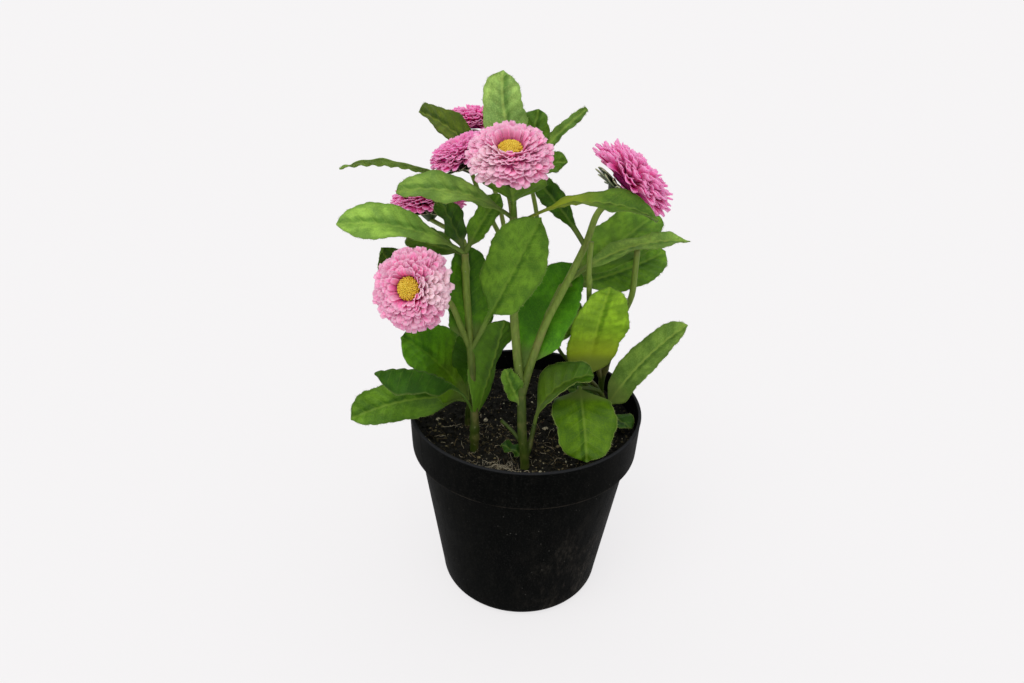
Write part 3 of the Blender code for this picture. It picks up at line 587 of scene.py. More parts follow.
def add_leaf(shape, leaf, name):
    """A closed blade, toothed and waved at its edge, channelled over its midrib and quilted between veins."""
    draw = random.Random(name)
    phases = [draw.uniform(0, 2 * math.pi) for _ in range(4)]
    cycles = draw.uniform(1.6, 2.4)
    seed = draw.uniform(0, 50)
    rows = np.linspace(0, 1, LEAF_ROWS + 1)
    share = np.sin(math.pi / 2 * rows) ** 1.15
    place, ahead, side, up = (value[:, None, :] for value in midrib(leaf, share))
    column = np.linspace(-1, 1, LEAF_COLUMNS)[None, :]
    share = share[:, None]
    half = blade_half_width(leaf, share)
    out = np.abs(column)
    right = column >= 0
    blade = smooth_step((share - 0.15) / 0.3)
    ripple = EDGE_WAVE * blade * out ** 1.5 * np.sin(np.where(right, phases[1], phases[0])
                                                     + cycles * 2 * math.pi * share)
    frill = EDGE_FRILL * blade * out ** 3 * np.sin(np.where(right, phases[0], phases[2])
                                                   + share * leaf.length * FRILL_TURN_PER_MM)
    ripple = ripple + frill * np.sin(phases[3] + 4.1 * share + column)
    scallop = 1 + EDGE_SCALLOP * out * blade * np.sin(np.where(right, phases[3], phases[2])
                                                      + 5 * math.pi * share)
    tooth = np.abs(np.sin(math.pi * share * leaf.length / TOOTH_SPACING + phases[2] + column))
    scallop = scallop - TOOTH_DEPTH / np.maximum(half, 3) * out ** 10 * blade * (1 - tooth ** 0.7)
    across = column * half * scallop
    lift = half * out * math.tan(math.radians(leaf.fold)) * blade
    veins = share * leaf.length - VEIN_SLANT * np.abs(across) + VEIN_BOW * across ** 2
    quilt = QUILT_HEIGHT * blade * np.sqrt(np.clip(1 - out, 0, 1))
    quilt = quilt * np.cos(2 * math.pi * veins / VEIN_SPACING)
    channel = -CHANNEL_DEPTH * blade * np.exp(-(across / RIB_WIDTH) ** 2)
    tip = TIP_CURVE * leaf.width * (1 - out ** 2) * share ** 8
    thin = smooth_step(share / 0.35)
    round_wall = STALK_WALL * np.sqrt(np.clip(1 - out ** 2, 0.02, 1))
    rib = RIB_HEIGHT * np.exp(-(across / RIB_WIDTH) ** 2) * (1.15 - share)
    flat_wall = BLADE_WALL - 0.1 * out ** 4
    upper_wall = mix((round_wall, flat_wall), thin)
    lower_wall = mix((round_wall, flat_wall + rib), thin)
    centre = place + side * across[..., None] + up * (lift + ripple + quilt + channel)[..., None]
    centre = centre + ahead * tip[..., None]
    upper = centre + up * upper_wall[..., None]
    lower = centre - up * lower_wall[..., None]
    flat = np.stack(np.broadcast_arrays(across, share * leaf.length, seed), axis=-1).reshape(-1, 3)
    rim = np.minimum(half * (1 - out), (1 - share) * leaf.length * 1.2 + half * (1 - out) * 0.3)
    rim = np.broadcast_to(rim, across.shape).ravel()
    count = len(flat)
    shape.add(
        np.concatenate([upper.reshape(-1, 3), lower.reshape(-1, 3)]),
        blade_faces(LEAF_ROWS + 1, LEAF_COLUMNS),
        blade_place=np.concatenate([flat, flat]),
        blade_rim=np.concatenate([rim, rim]),
        blade_upper=np.concatenate([np.ones(count), np.zeros(count)]),
        blade_blade=np.tile(np.broadcast_to(blade, across.shape).ravel(), 2),
        blade_yellow=leaf.yellow,
        blade_pale_rim=leaf.pale_rim,
        blade_rib=leaf.rib,
        # Light scales the tone: partly the leaf's own tone, partly painted light that brightens leaves lying
        # in shade.
        tone=np.array(LEAF_TONES[leaf.tone]) * leaf.light,
    )
    add_hairs(shape, leaf, name, centre, (ahead[:, 0], side[:, 0], up[:, 0]))


def add_hairs(shape, leaf, name, centre, axes):
    """Short pale hairs round a blade's edge, each a three-sided spike rooted in it."""
    draw = random.Random(f"hairs of {name}")
    ahead, side, up = axes
    rows = len(centre) - 1
    points = []
    faces = []
    for _ in range(round(leaf.length * HAIRS_PER_MM)):
        right = draw.random() < 0.5
        row = draw.uniform(HAIRS_FROM, 1) * rows
        first = min(int(row), rows - 1)
        edge = centre[:, -1 if right else 0]
        root = mix((edge[first], edge[first + 1]), row - first)
        lean = side[first] * (1 if right else -1) + ahead[first] * draw.uniform(-0.2, 0.9)
        lean = lean + up[first] * draw.uniform(-0.5, 0.5)
        lean = lean / np.linalg.norm(lean)
        level = np.cross(lean, up[first])
        level = level / np.linalg.norm(level)
        third = np.cross(lean, level)
        root = root - lean * HAIR_ROOT
        start = len(points)
        for turn in (0, 2 * math.pi / 3, 4 * math.pi / 3):
            points.append(root + (level * math.cos(turn) + third * math.sin(turn)) * HAIR_RADIUS)
        points.append(root + lean * draw.uniform(*HAIR_LENGTHS))
        faces += [(start, start + 1, start + 3), (start + 1, start + 2, start + 3),
                  (start + 2, start, start + 3), (start + 2, start + 1, start)]
    shape.add(points, [faces], blade_rim=3.0, blade_upper=1.0, blade_blade=1.0, tone=HAIR_TONE)


def curve_through(points):
    """Fine points on the smooth curve through the given ones, and each one's share of the coarse path."""
    points = [Vector(point) for point in points]
    ends = [2 * points[0] - points[1], *points, 2 * points[-1] - points[-2]]
    path = []
    index = []
    total = 0
    for before, start, end, after in zip(ends, ends[1:], ends[2:], ends[3:]):
        coarse = max(1, round((end - start).length / STEM_SPACING))
        count = max(2, round((end - start).length / PATH_SPACING))
        for step in range(count):
            t = step / count
            path.append(0.5 * (2 * start + (end - before) * t
                               + (2 * before - 5 * start + 4 * end - after) * t * t
                               + (3 * start - before - 3 * end + after) * t ** 3))
            index.append(total + coarse * t)
        total += coarse
    path.append(points[-1])
    index.append(total)
    return np.array(path), np.array(index) / total


def tube(path, radius, sides):
    """Points and faces of a closed tube along a path."""
    ahead = np.gradient(path, axis=0)
    ahead /= np.linalg.norm(ahead, axis=1)[:, None]
    side = np.cross(ahead[0], (0.3, 1.0, 0.2))
    sides_out = []
    for tangent in ahead:
        side = side - tangent * side.dot(tangent)
        side = side / np.linalg.norm(side)
        sides_out.append(side)
    first = np.array(sides_out)
    second = np.cross(ahead, first)
    angle = np.arange(sides) * 2 * math.pi / sides
    ring = np.cos(angle)[None, :, None] * first[:, None] + np.sin(angle)[None, :, None] * second[:, None]
    points = path[:, None, :] + ring * np.asarray(radius)[:, None, None]
    points = np.concatenate([points.reshape(-1, 3), path[:1], path[-1:]])
    count = len(path)
    around = np.arange(sides)
    turn = (around + 1) % sides
    start_cap = np.stack([turn, around, np.full(sides, count * sides)], axis=-1)
    last = (count - 1) * sides
    end_cap = np.stack([last + around, last + turn, np.full(sides, count * sides + 1)], axis=-1)
    return points, [grid_faces(count, sides, closed=True), start_cap, end_cap]


def add_stalk(shape, stem):
    """A round stalk with its swollen collars, each with a thin ring scar."""
    path, share = curve_through(stem.points)
    radius = mix(stem.radius, share)
    for height in stem.collars:
        off = path[:, 2] - height
        radius = radius * (1 + COLLAR_SWELL * np.exp(-(off / COLLAR_REACH) ** 2)
                           - SCAR_DEPTH * np.exp(-(off / SCAR_REACH) ** 2))
    shape.add(*tube(path, radius, STEM_SIDES), material=1)


def add_calyx(shape, bloom):
    """The green cup under a bloom, with two rings of pointed bracts."""
    points, faces = turned(CALYX_PROFILE, CALYX_STEPS)
    matrix = bloom.matrix()
    shape.add(moved(points, matrix), faces, material=2)
    draw = random.Random(f"calyx {bloom.name}")
    for ring, (count, length, rise) in enumerate(((10, 8.6, (-4, 4)), (10, 8.2, (6, 4)))):
        for number in range(count):
            turn = 360 * (number + 0.5 * ring) / count + draw.uniform(-4, 4)
            bract = Whorl(3.4, -1.6 + 0.5 * ring, length * draw.uniform(0.92, 1.04), rise)
            points, place = petal_points(bract, BRACT_WIDTH, turn, draw, pointed=True)
            shape.add(moved(points, matrix), blade_faces(PETAL_ROWS, PETAL_COLUMNS), material=2,
                      petal_place=place)


def petal_points(whorl, width, turn, draw, pointed=False):
    """Points of one cupped strap, upper sheet then lower, and each one's (across, along, seed)."""
    turn = math.radians(turn)
    out = np.array((math.cos(turn), math.sin(turn), 0.0))
    share = np.linspace(0, 1, PETAL_ROWS)
    bend = smooth_step((share - 0.3) / 0.7)
    rise = np.radians(mix(whorl.rise, bend))
    ahead = np.cos(rise)[:, None] * out + np.sin(rise)[:, None] * np.array((0, 0, 1.0))
    steps = (ahead[1:] + ahead[:-1]) / 2 * whorl.length / (PETAL_ROWS - 1)
    root = out * whorl.root_radius + np.array((0, 0, whorl.root_height))
    place = root + np.concatenate([np.zeros((1, 3)), np.cumsum(steps, axis=0)])
    lean = math.radians(draw.uniform(-PETAL_LEAN, PETAL_LEAN))
    level = np.array((out[1], -out[0], 0.0))
    above = np.cross(level, ahead)
    side = level * math.cos(lean) + above * math.sin(lean)
    up = np.cross(side, ahead)
    if pointed:
        half = width / 2 * np.sqrt(np.clip(1 - share ** 3, 0.01, 1)) * (0.7 + 0.3 * share)
        cup = 0.1
    else:
        end = np.clip((share - 0.82) / 0.19, 0, 1)
        half = width / 2 * (0.6 + 0.4 * smooth_step(share / 0.55)) * np.sqrt(1 - 0.78 * end ** 3)
        cup = draw.uniform(*PETAL_CUPS)
    column = np.linspace(-1, 1, PETAL_COLUMNS)
    across = column[None, :] * half[:, None]
    lift = cup * np.abs(column)[None, :] ** 1.6 * half[:, None]
    curl = draw.uniform(-0.9, 0.9) * share ** 3
    raised = up[:, None, :] * (lift + curl[:, None])[..., None]
    centre = place[:, None, :] + side[:, None, :] * across[..., None] + raised
    wall = BRACT_WALL if pointed else PETAL_WALL
    points = np.concatenate([(centre + up[:, None, :] * wall).reshape(-1, 3),
                             (centre - up[:, None, :] * wall).reshape(-1, 3)])
    flat = np.stack(np.broadcast_arrays(column[None, :], share[:, None], draw.uniform(0, 40)), axis=-1)
    return points, np.tile(flat.reshape(-1, 3), (2, 1))


def whorl_at(level):
    """A layer between the part's own whorls, at a level from 0, the lowest, to 1."""
    place = level * (len(WHORLS) - 1)
    low = min(int(place), len(WHORLS) - 2)
    along = place - low
    first, second = WHORLS[low], WHORLS[low + 1]
    return Whorl(
        mix((first.root_radius, second.root_radius), along) - 0.4,
        mix((first.root_height, second.root_height), along),
        mix((first.length, second.length), along) + 0.3,
        tuple(mix(pair, along) for pair in zip(first.rise, second.rise)),
    )


def make_bloom(bloom, materials):
    """The petals of a bloom, in many layers that keep the form of the part's four."""
    draw = random.Random(f"looks of bloom {bloom.name}")
    shape = Shape()
    matrix = bloom.matrix()
    slope = math.tan(math.radians(bloom.lift))
    profile = [(radius, height + max(radius - CORE_HINGE, 0) * slope) for radius, height in CORE_PROFILE]
    core, faces = turned(profile, CORE_STEPS)
    shape.add(moved(core, matrix), faces, tone=bloom.root_tone, root_tone=bloom.root_tone,
              tip_tone=bloom.root_tone)
    for layer in range(PETAL_LAYERS):
        level = layer / (PETAL_LAYERS - 1)
        whorl = whorl_at(level)
        count = round(mix(PETAL_COUNTS, level))
        for number in range(count):
            turn = 360 * (number + 0.5 * (layer % 2)) / count + draw.uniform(-0.4, 0.4) * 360 / count
            tilt = draw.uniform(-7, 7) + bloom.lift * (1 - 0.75 * level) - bloom.droop * (1 - level) ** 3
            petal = Whorl(whorl.root_radius, whorl.root_height + draw.uniform(-0.3, 0.3),
                          whorl.length * draw.uniform(0.8, 1.02),
                          (whorl.rise[0] + tilt, whorl.rise[1] + tilt + draw.uniform(-6, 6)))
            width = mix(PETAL_WIDTHS, level) * draw.uniform(0.85, 1.15)
            points, place = petal_points(petal, width, turn, draw)
            near = math.cos(math.radians(turn - bloom.pale_turn))
            patch = min(max((near - 0.8) / 0.15, 0), 1)
            pale = min(max(bloom.pale_share * patch + draw.uniform(-0.3, 0.35), 0), 1)
            vary = draw.uniform(0.85, 1.12)
            shape.add(moved(points, matrix), blade_faces(PETAL_ROWS, PETAL_COLUMNS), petal_place=place,
                      tone=np.array(bloom.tone) * vary, root_tone=bloom.root_tone,
                      tip_tone=bloom.tip_tone, paleness=pale)
    new_piece(f"petals_{bloom.name}", shape, [materials["petal"]], [f"bloom_{bloom.name}"])


def ball(detail):
    """Points and triangles of a round ball of radius 1, from an icosahedron."""
    golden = (1 + math.sqrt(5)) / 2
    points = [(-1, golden, 0), (1, golden, 0), (-1, -golden, 0), (1, -golden, 0), (0, -1, golden),
              (0, 1, golden), (0, -1, -golden), (0, 1, -golden), (golden, 0, -1), (golden, 0, 1),
              (-golden, 0, -1), (-golden, 0, 1)]
    points = [Vector(point).normalized() for point in points]
    faces = [(0, 11, 5), (0, 5, 1), (0, 1, 7), (0, 7, 10), (0, 10, 11), (1, 5, 9), (5, 11, 4), (11, 10, 2),
             (10, 7, 6), (7, 1, 8), (3, 9, 4), (3, 4, 2), (3, 2, 6), (3, 6, 8), (3, 8, 9), (4, 9, 5),
             (2, 4, 11), (6, 2, 10), (8, 6, 7), (9, 8, 1)]
    for _ in range(detail):
        middles = {}
        finer = []
        for a, b, c in faces:
            halves = []
            for pair in ((a, b), (b, c), (c, a)):
                key = tuple(sorted(pair))
                if key not in middles:
                    middles[key] = len(points)
                    points.append((points[key[0]] + points[key[1]]).normalized())
                halves.append(middles[key])
            ab, bc, ca = halves
            finer += [(a, ab, ca), (b, bc, ab), (c, ca, bc), (ab, bc, ca)]
        faces = finer
    return np.array(points), np.array(faces)


def make_disc(bloom, materials):
    """The bloom's domed middle: a dome set with florets on a spiral."""
    draw = random.Random(f"florets {bloom.name}")
    shape = Shape()
    matrix = bloom.matrix()
    dome, faces = turned(DISC_PROFILE, DISC_STEPS)
    shape.add(moved(dome, matrix), faces)
    unit_points, unit_faces = ball(1)
    radii, heights = zip(*DISC_PROFILE[:5])
    for number in range(FLORETS):
        radius = FLORET_REACH * math.sqrt((number + 0.5) / FLORETS)
        turn = number * GOLDEN_ANGLE + draw.uniform(-0.06, 0.06)
        top = np.interp(radius, radii, heights)
        size = draw.uniform(0.4, 0.5)
        stretched = unit_points * np.array((size, size, size * draw.uniform(1.1, 1.7)))
        lean = Matrix.Rotation(radius / FLORET_REACH * 0.7, 4, Vector((-math.sin(turn), math.cos(turn), 0)))
        points = moved(stretched, lean) + np.array((*polar(radius, turn), top))
        shape.add(moved(points, matrix), [unit_faces], floret=draw.uniform(0, 1),
                  floret_height=unit_points[:, 2])
    new_piece(f"florets_{bloom.name}", shape, [materials["disc"]], [f"disc_{bloom.name}"])


def make_leafy_stem(name, stems, leaves, blooms, materials):
    """One growth: its stalks, its leaves and the calyx of each of its blooms."""
    shape = Shape()
    for number, leaf in enumerate(leaves):
        add_leaf(shape, leaf, f"{name} {number}")
    for stem in stems:
        add_stalk(shape, stem)
    for bloom in blooms:
        add_calyx(shape, bloom)
    new_piece(f"{name}_looks", shape, [materials["leaf"], materials["stalk"], materials["calyx"]],
              [name])


def arc(centre, radius, start, end, count):
    """Points round part of a circle in the (radius, height) plane."""
    angles = [math.radians(start + (end - start) * i / (count - 1)) for i in range(count)]
    return [(centre[0] + radius * math.cos(angle), centre[1] + radius * math.sin(angle)) for angle in angles]


def pot_profile():
    """Outer side from the lip to the base, then the inner side back up, with every corner rounded."""
    band_foot = POT_HEIGHT - BAND_HEIGHT
    taper = (BODY_TOP_RADIUS - BASE_RADIUS) / band_foot
    lip_inner = RIM_RADIUS - WALL
    floor_radius = BASE_RADIUS - WALL - FLOOR_CORNER_WIDTH
    outer = [
        *arc((RIM_RADIUS - LIP_ROUNDING, POT_HEIGHT - LIP_ROUNDING), LIP_ROUNDING, 90, -8, 7),
        (RIM_RADIUS - 0.25, POT_HEIGHT - 2.4),
        (BAND_FOOT_RADIUS + 0.15, band_foot + 3.0),
        *arc((BAND_FOOT_RADIUS - 0.7, band_foot + 0.7), 0.7, 0, -90, 5),
        (BODY_TOP_RADIUS + 0.5, band_foot - 0.05),
        (BODY_TOP_RADIUS + 0.08, band_foot - 0.3),
        (BODY_TOP_RADIUS - 0.1, band_foot - 1.0),
        *[(BODY_TOP_RADIUS - taper * drop, band_foot - drop) for drop in (8, 20, 40, 60, 76)],
        *arc((BASE_RADIUS - BASE_CORNER * 0.85, BASE_CORNER), BASE_CORNER, -8, -90, 9),
        (BASE_RADIUS - BASE_CORNER - 2, 0.0),
        (0.0, 0.0),
    ]
    inner = [
        (0.0, FLOOR_THICKNESS),
        (floor_radius, FLOOR_THICKNESS),
        (floor_radius + FLOOR_CORNER_WIDTH + FLOOR_CORNER_HEIGHT * taper,
         FLOOR_THICKNESS + FLOOR_CORNER_HEIGHT),
        (BODY_TOP_RADIUS - WALL, band_foot - 2),
        (BAND_FOOT_RADIUS - WALL, band_foot + 2),
        (lip_inner, POT_HEIGHT - 4.0),
        (lip_inner, POT_HEIGHT - LIP_ROUNDING),
        *arc((lip_inner + LIP_ROUNDING, POT_HEIGHT - LIP_ROUNDING), LIP_ROUNDING, 180, 90, 6)[1:],
    ]
    return outer, inner


def inner_radius(height):
    """The pot's inner radius at a height."""
    inner = pot_profile()[1][1:7]
    return float(np.interp(height, [point[1] for point in inner], [point[0] for point in inner]))


def make_pot(materials):
    outer, inner = pot_profile()
    shape = Shape()
    shape.add(*turned([*inner, *outer], POT_STEPS))
    pot = new_piece("pot_looks", shape, [materials["pot"]], ["pot"])
    pot.data.set_sharp_from_angle(angle=POT_SHARP_ANGLE)


def soil_height(x, y):
    """Relief of the soil over its mean level, in mm, at a place in mm."""
    coarse = np.sin(0.19 * x + 1.3) * np.cos(0.23 * y - 0.4)
    fine = np.sin(0.71 * x - 0.62 * y) + np.cos(0.83 * y + 0.45 * x + 2.0)
    return SOIL_COARSE * coarse + SOIL_FINE * fine


def soil_top(x, y, edge):
    """Height of the soil's surface with its rough grain."""
    calm = 1 - min(math.hypot(x, y) / edge, 1) ** SOIL_CALM_POWER
    grain = noise.fractal(Vector((x * 0.35, y * 0.35, 3.1)), 0.7, 2.1, 5)
    return SOIL_TOP + (float(soil_height(x, y)) + SOIL_GRAIN * grain) * calm


def make_soil(materials):
    """The soil's rough top on a plain plug that fills the pot, with crumbs and fibres on it."""
    edge = inner_radius(SOIL_TOP) - GAP
    shape = Shape()
    angle = np.arange(SOIL_STEPS) * 2 * math.pi / SOIL_STEPS
    rows = []
    for ring in range(SOIL_RINGS + 1):
        places = [polar(edge * (ring / SOIL_RINGS), a) for a in angle]
        rows.append([(x, y, soil_top(x, y, edge)) for x, y in places])
    band_foot = POT_HEIGHT - BAND_HEIGHT
    bottom = FLOOR_THICKNESS + GAP
    for level in (band_foot + 2, band_foot - 2, FLOOR_THICKNESS + FLOOR_CORNER_HEIGHT, bottom):
        rows.append([(*polar(inner_radius(level) - GAP, a), level) for a in angle])
    rows.append([(0, 0, bottom)] * SOIL_STEPS)
    shape.add(rows, [grid_faces(len(rows), SOIL_STEPS, closed=True)[:, ::-1]], soil_tone=SOIL_TONE)
    add_crumbs(shape, edge)
    new_piece("soil_looks", shape, [materials["soil"]], ["soil"], smooth=False)
    fibres = Shape()
    add_fibres(fibres, edge)
    new_piece("soil_fibres", fibres, [materials["soil"]])


CRUMB_TONES = ((0.54, srgb(18, 18, 13)), (0.72, srgb(38, 36, 25)), (0.86, srgb(72, 66, 45)),
               (0.945, srgb(124, 114, 82)), (1.0, srgb(186, 178, 150)))
FIBRE_TONES = ((0.3, srgb(44, 38, 26)), (0.6, srgb(80, 68, 46)), (0.85, srgb(128, 114, 82)),
               (1.0, srgb(188, 178, 150)))


def picked(tones, draw):
    """A tone drawn by the shares at which each one ends."""
    value = draw.random()
    return next(tone for limit, tone in tones if value <= limit)


def long_tailed(sizes, draw):
    """A size from (least, usual excess over it, most): many small ones and a few large."""
    least, excess, most = sizes
    return min(least + excess * draw.expovariate(1.0), most)


def add_crumbs(shape, edge):
    """Small rough lumps, sunk a little into the soil."""
    draw = random.Random("crumbs")
    unit_points, unit_faces = ball(0)
    for _ in range(CRUMBS):
        radius = (edge - 1.5) * math.sqrt(draw.random())
        turn = draw.uniform(0, 2 * math.pi)
        x, y = polar(radius, turn)
        size = long_tailed(CRUMB_SIZES, draw)
        rough = np.array([draw.uniform(0.65, 1.2) for _ in unit_points])[:, None]
        stretch = np.array((draw.uniform(0.7, 1.4), draw.uniform(0.7, 1.3), draw.uniform(0.45, 0.9)))
        lump = moved(unit_points * rough * stretch * size, Matrix.Rotation(draw.uniform(0, 6.3), 4, "Z"))
        points = lump + np.array((x, y, soil_top(x, y, edge) + 0.25 * size))
        shape.add(points, [unit_faces], soil_tone=picked(CRUMB_TONES, draw))


def add_fibres(shape, edge):
    """Thin pale and ochre fibres that lie over the soil, most of them at the front, and one pale tangle."""
    draw = random.Random("fibres")
    for number in range(FIBRES + TANGLE):
        front = number % 3 != 0
        radius = (edge - 6) * math.sqrt(draw.random())
        turn = math.radians(draw.uniform(190, 330)) if front else draw.uniform(0, 2 * math.pi)
        heading = draw.uniform(0, 2 * math.pi)
        bend = draw.uniform(-1.6, 1.6)
        length = long_tailed(FIBRE_LENGTHS, draw)
        place = np.array(polar(radius, turn))
        if number >= FIBRES:
            place = np.array(TANGLE_PLACE) + np.array([draw.gauss(0, spread) for spread in TANGLE_SPREAD])
            length = draw.uniform(3, 8)
        path = []
        for step in range(FIBRE_POINTS):
            along = step / (FIBRE_POINTS - 1)
            x, y = place
            lift = 0.35 + draw.uniform(0, 0.8) * math.sin(math.pi * along)
            path.append((x, y, soil_top(x, y, edge) + lift))
            course = heading + bend * along
            place = place + length / (FIBRE_POINTS - 1) * np.array((math.cos(course), math.sin(course)))
        path = np.array(path)
        if np.hypot(path[:, 0], path[:, 1]).max() > edge - 1:
            continue
        thick = draw.uniform(*FIBRE_RADII)
        points, faces = tube(path, thick * np.linspace(1, 0.5, FIBRE_POINTS), FIBRE_SIDES)
        shape.add(points, faces, soil_tone=TANGLE_TONE if number >= FIBRES else picked(FIBRE_TONES, draw))


class Graph:
    """A material's nodes, with short calls for those that the looks use."""

    def __init__(self, name):
        self.material = bpy.data.materials.new(name)
        self.material.use_nodes = True
        self.tree = self.material.node_tree
        self.tree.nodes.clear()

    def node(self, kind, inputs=None, **settings):
        node = self.tree.nodes.new("ShaderNode" + kind)
        for key, value in settings.items():
            setattr(node, key, value)
        for key, value in (inputs or {}).items():
            self.feed(node.inputs[key], value)
        return node

    def feed(self, socket, value):
        if isinstance(value, bpy.types.NodeSocket):
            self.tree.links.new(value, socket)
        elif value is not None:
            socket.default_value = value

    def math(self, operation, first, second=None):
        return self.node("Math", {0: first, 1: second}, operation=operation).outputs[0]

    def times(self, first, second):
        return self.math("MULTIPLY", first, second)

    def value(self, name, output="Fac"):
        return self.node("Attribute", attribute_name=name, attribute_type="GEOMETRY").outputs[output]

    def vector(self, name):
        return self.value(name, "Vector")

    def place(self):
        """Where the shaded point is, in metres, in the model's own frame."""
        return self.node("TexCoord").outputs["Object"]

    def split(self, vector):
        return self.node("SeparateXYZ", {0: vector}).outputs

    def joined(self, x, y, z):
        return self.node("CombineXYZ", {0: x, 1: y, 2: z}).outputs[0]

    def scaled(self, vector, by):
        return self.node("VectorMath", {0: vector, 1: by}, operation="MULTIPLY").outputs[0]

    def noise(self, vector, scale, detail=2.0, rough=0.5):
        inputs = {"Vector": vector, "Scale": scale, "Detail": detail, "Roughness": rough}
        return self.node("TexNoise", inputs).outputs["Fac"]

    def spots(self, vector, scale):
        return self.node("TexVoronoi", {"Vector": vector, "Scale": scale}).outputs["Distance"]

    def ramp(self, value, low, high, start=0.0, end=1.0):
        inputs = {"Value": value, "From Min": low, "From Max": high, "To Min": start, "To Max": end}
        return self.node("MapRange", inputs, interpolation_type="SMOOTHSTEP").outputs[0]

    def mix(self, factor, first, second, blend="MIX"):
        return self.node("Mix", {0: factor, 6: first, 7: second}, data_type="RGBA",
                         blend_type=blend).outputs[2]

    def tint(self, colour, red, green, blue):
        return self.mix(1.0, colour, (red, green, blue, 1), "MULTIPLY")

    def bump(self, height, distance, strength):
        inputs = {"Height": height, "Distance": distance, "Strength": strength}
        return self.node("Bump", inputs).outputs[0]

    def finish(self, colour, roughness, normal=None, through=0.0, through_colour=None, specular=0.0,
               **sockets):
        """The surface: a principled shader, with some light let through where the sheet is thin."""
        inputs = {"Base Color": colour, "Roughness": roughness, "Normal": normal,
                  "Specular IOR Level": specular, **sockets}
        surface = self.node("BsdfPrincipled", inputs).outputs[0]
        if through:
            thin = self.node("BsdfTranslucent", {"Color": through_colour or colour, "Normal": normal})
            surface = self.node("MixShader", {0: through, 1: surface, 2: thin.outputs[0]}).outputs[0]
        self.node("OutputMaterial", {"Surface": surface})
        return self.material


def leaf_material():
    g = Graph("leaf_green_looks")
    across, along, seed = g.split(g.vector("blade_place"))
    out = g.math("ABSOLUTE", across)
    upper = g.value("blade_upper")
    blade = g.value("blade_blade")
    coords = g.joined(across, along, seed)
    base = g.vector("tone")
    broad = g.noise(coords, 0.1, 3.0, 0.5)
    mottle = g.noise(g.joined(g.times(across, 1.6), g.times(along, 0.7), seed), 0.32, 3.0, 0.5)
    fine = g.noise(coords, 2.2, 3.0, 0.6)
    colour = g.mix(g.ramp(broad, 0.36, 0.64), g.tint(base, 0.64, 0.71, 0.7),
                   g.tint(base, 1.42, 1.34, 1.3))
    colour = g.mix(g.ramp(mottle, 0.4, 0.64, 0.0, 0.5), colour,
                   g.tint(base, 0.62, 0.72, 0.6))
    colour = g.mix(g.ramp(fine, 0.46, 0.7, 0.0, 0.5), colour, g.tint(base, 1.55, 1.45, 1.6))
    colour = g.mix(g.ramp(fine, 0.54, 0.34, 0.0, 0.5), colour, g.tint(base, 0.6, 0.66, 0.55))
    # Painted shade: a soft dark band just beside the midrib, where the blade's fold shades it.
    beside = g.math("ABSOLUTE", g.math("SUBTRACT", across, 1.5))
    fold = g.times(g.ramp(beside, 0.2, 1.9, 0.9, 0.0), g.ramp(mottle, 0.3, 0.55, 0.6, 1.0))
    fold = g.times(fold, g.times(blade, g.ramp(along, 40.0, 90.0, 1.0, 0.3)))
    colour = g.mix(fold, colour, g.tint(colour, 0.5, 0.62, 0.45))
    slant = g.times(out, VEIN_SLANT)
    bow = g.times(g.times(across, across), VEIN_BOW)
    run = g.math("ADD", g.math("SUBTRACT", along, slant), bow)
    wander = g.times(g.math("SUBTRACT", mottle, 0.5), 1.6)
    phase = g.math("FRACT", g.math("DIVIDE", g.math("ADD", run, wander), VEIN_SPACING))
    off = g.math("ABSOLUTE", g.math("SUBTRACT", phase, 0.5))
    # Painted shade: darker bands in the grooves along the side veins.
    furrow_shade = g.times(g.ramp(off, 0.1, 0.45, 0.0, 0.42), g.times(blade, g.ramp(mottle, 0.3, 0.62)))
    colour = g.mix(furrow_shade, colour, g.tint(colour, 0.66, 0.74, 0.62))
    vein = g.times(g.ramp(off, 0.44, 0.5, 0.0, 0.4), blade)
    vein = g.times(vein, g.ramp(out, 1.0, 11.0, 1.0, 0.1))
    vein = g.times(vein, g.ramp(broad, 0.3, 0.65, 0.2, 1.0))
    pale = g.tint(base, 1.6, 1.45, 1.4)
    pale = g.mix(0.35, pale, paint(150, 165, 85))
    colour = g.mix(vein, colour, pale)
    rib = g.times(g.ramp(out, 0.2, 0.9, 0.9, 0.0), g.ramp(along, 34.0, 84.0, 1.0, 0.4))
    colour = g.mix(g.times(rib, g.value("blade_rib")), colour, pale)
    yellow = g.times(g.value("blade_yellow"), g.ramp(along, 16.0, 42.0, 1.0, 0.0))
    colour = g.mix(yellow, colour, paint(168, 182, 42))
    rim = g.value("blade_rim")
    edge = g.times(g.ramp(rim, 0.0, 0.55, 1.0, 0.0), blade)
    colour = g.mix(g.times(edge, g.value("blade_pale_rim")), colour, paint(150, 168, 84))
    # Painted shade: a soft darker band just inside the leaf's edge.
    rim_shade_band = g.times(g.ramp(rim, 0.4, 2.2, 0.4, 0.0), blade)
    colour = g.mix(rim_shade_band, colour, g.tint(base, 0.5, 0.58, 0.5))
    stalk_tone = g.mix(g.ramp(blade, 0.0, 0.6, 0.7, 0.0), colour, paint(104, 120, 58))
    under = g.mix(0.2, colour, paint(112, 132, 56))
    colour = g.mix(upper, under, stalk_tone)
    height = g.math("ADD", g.times(fine, 0.5), g.times(mottle, 0.8))
    height = g.math("ADD", height, g.times(vein, -0.7))
    normal = g.bump(height, 0.00035, 0.7)
    rough = g.ramp(fine, 0.3, 0.7, 0.45, 0.65)
    through = g.tint(colour, 1.4, 1.4, 0.3)
    return g.finish(colour, rough, normal, 0.26, through, specular=0.2)


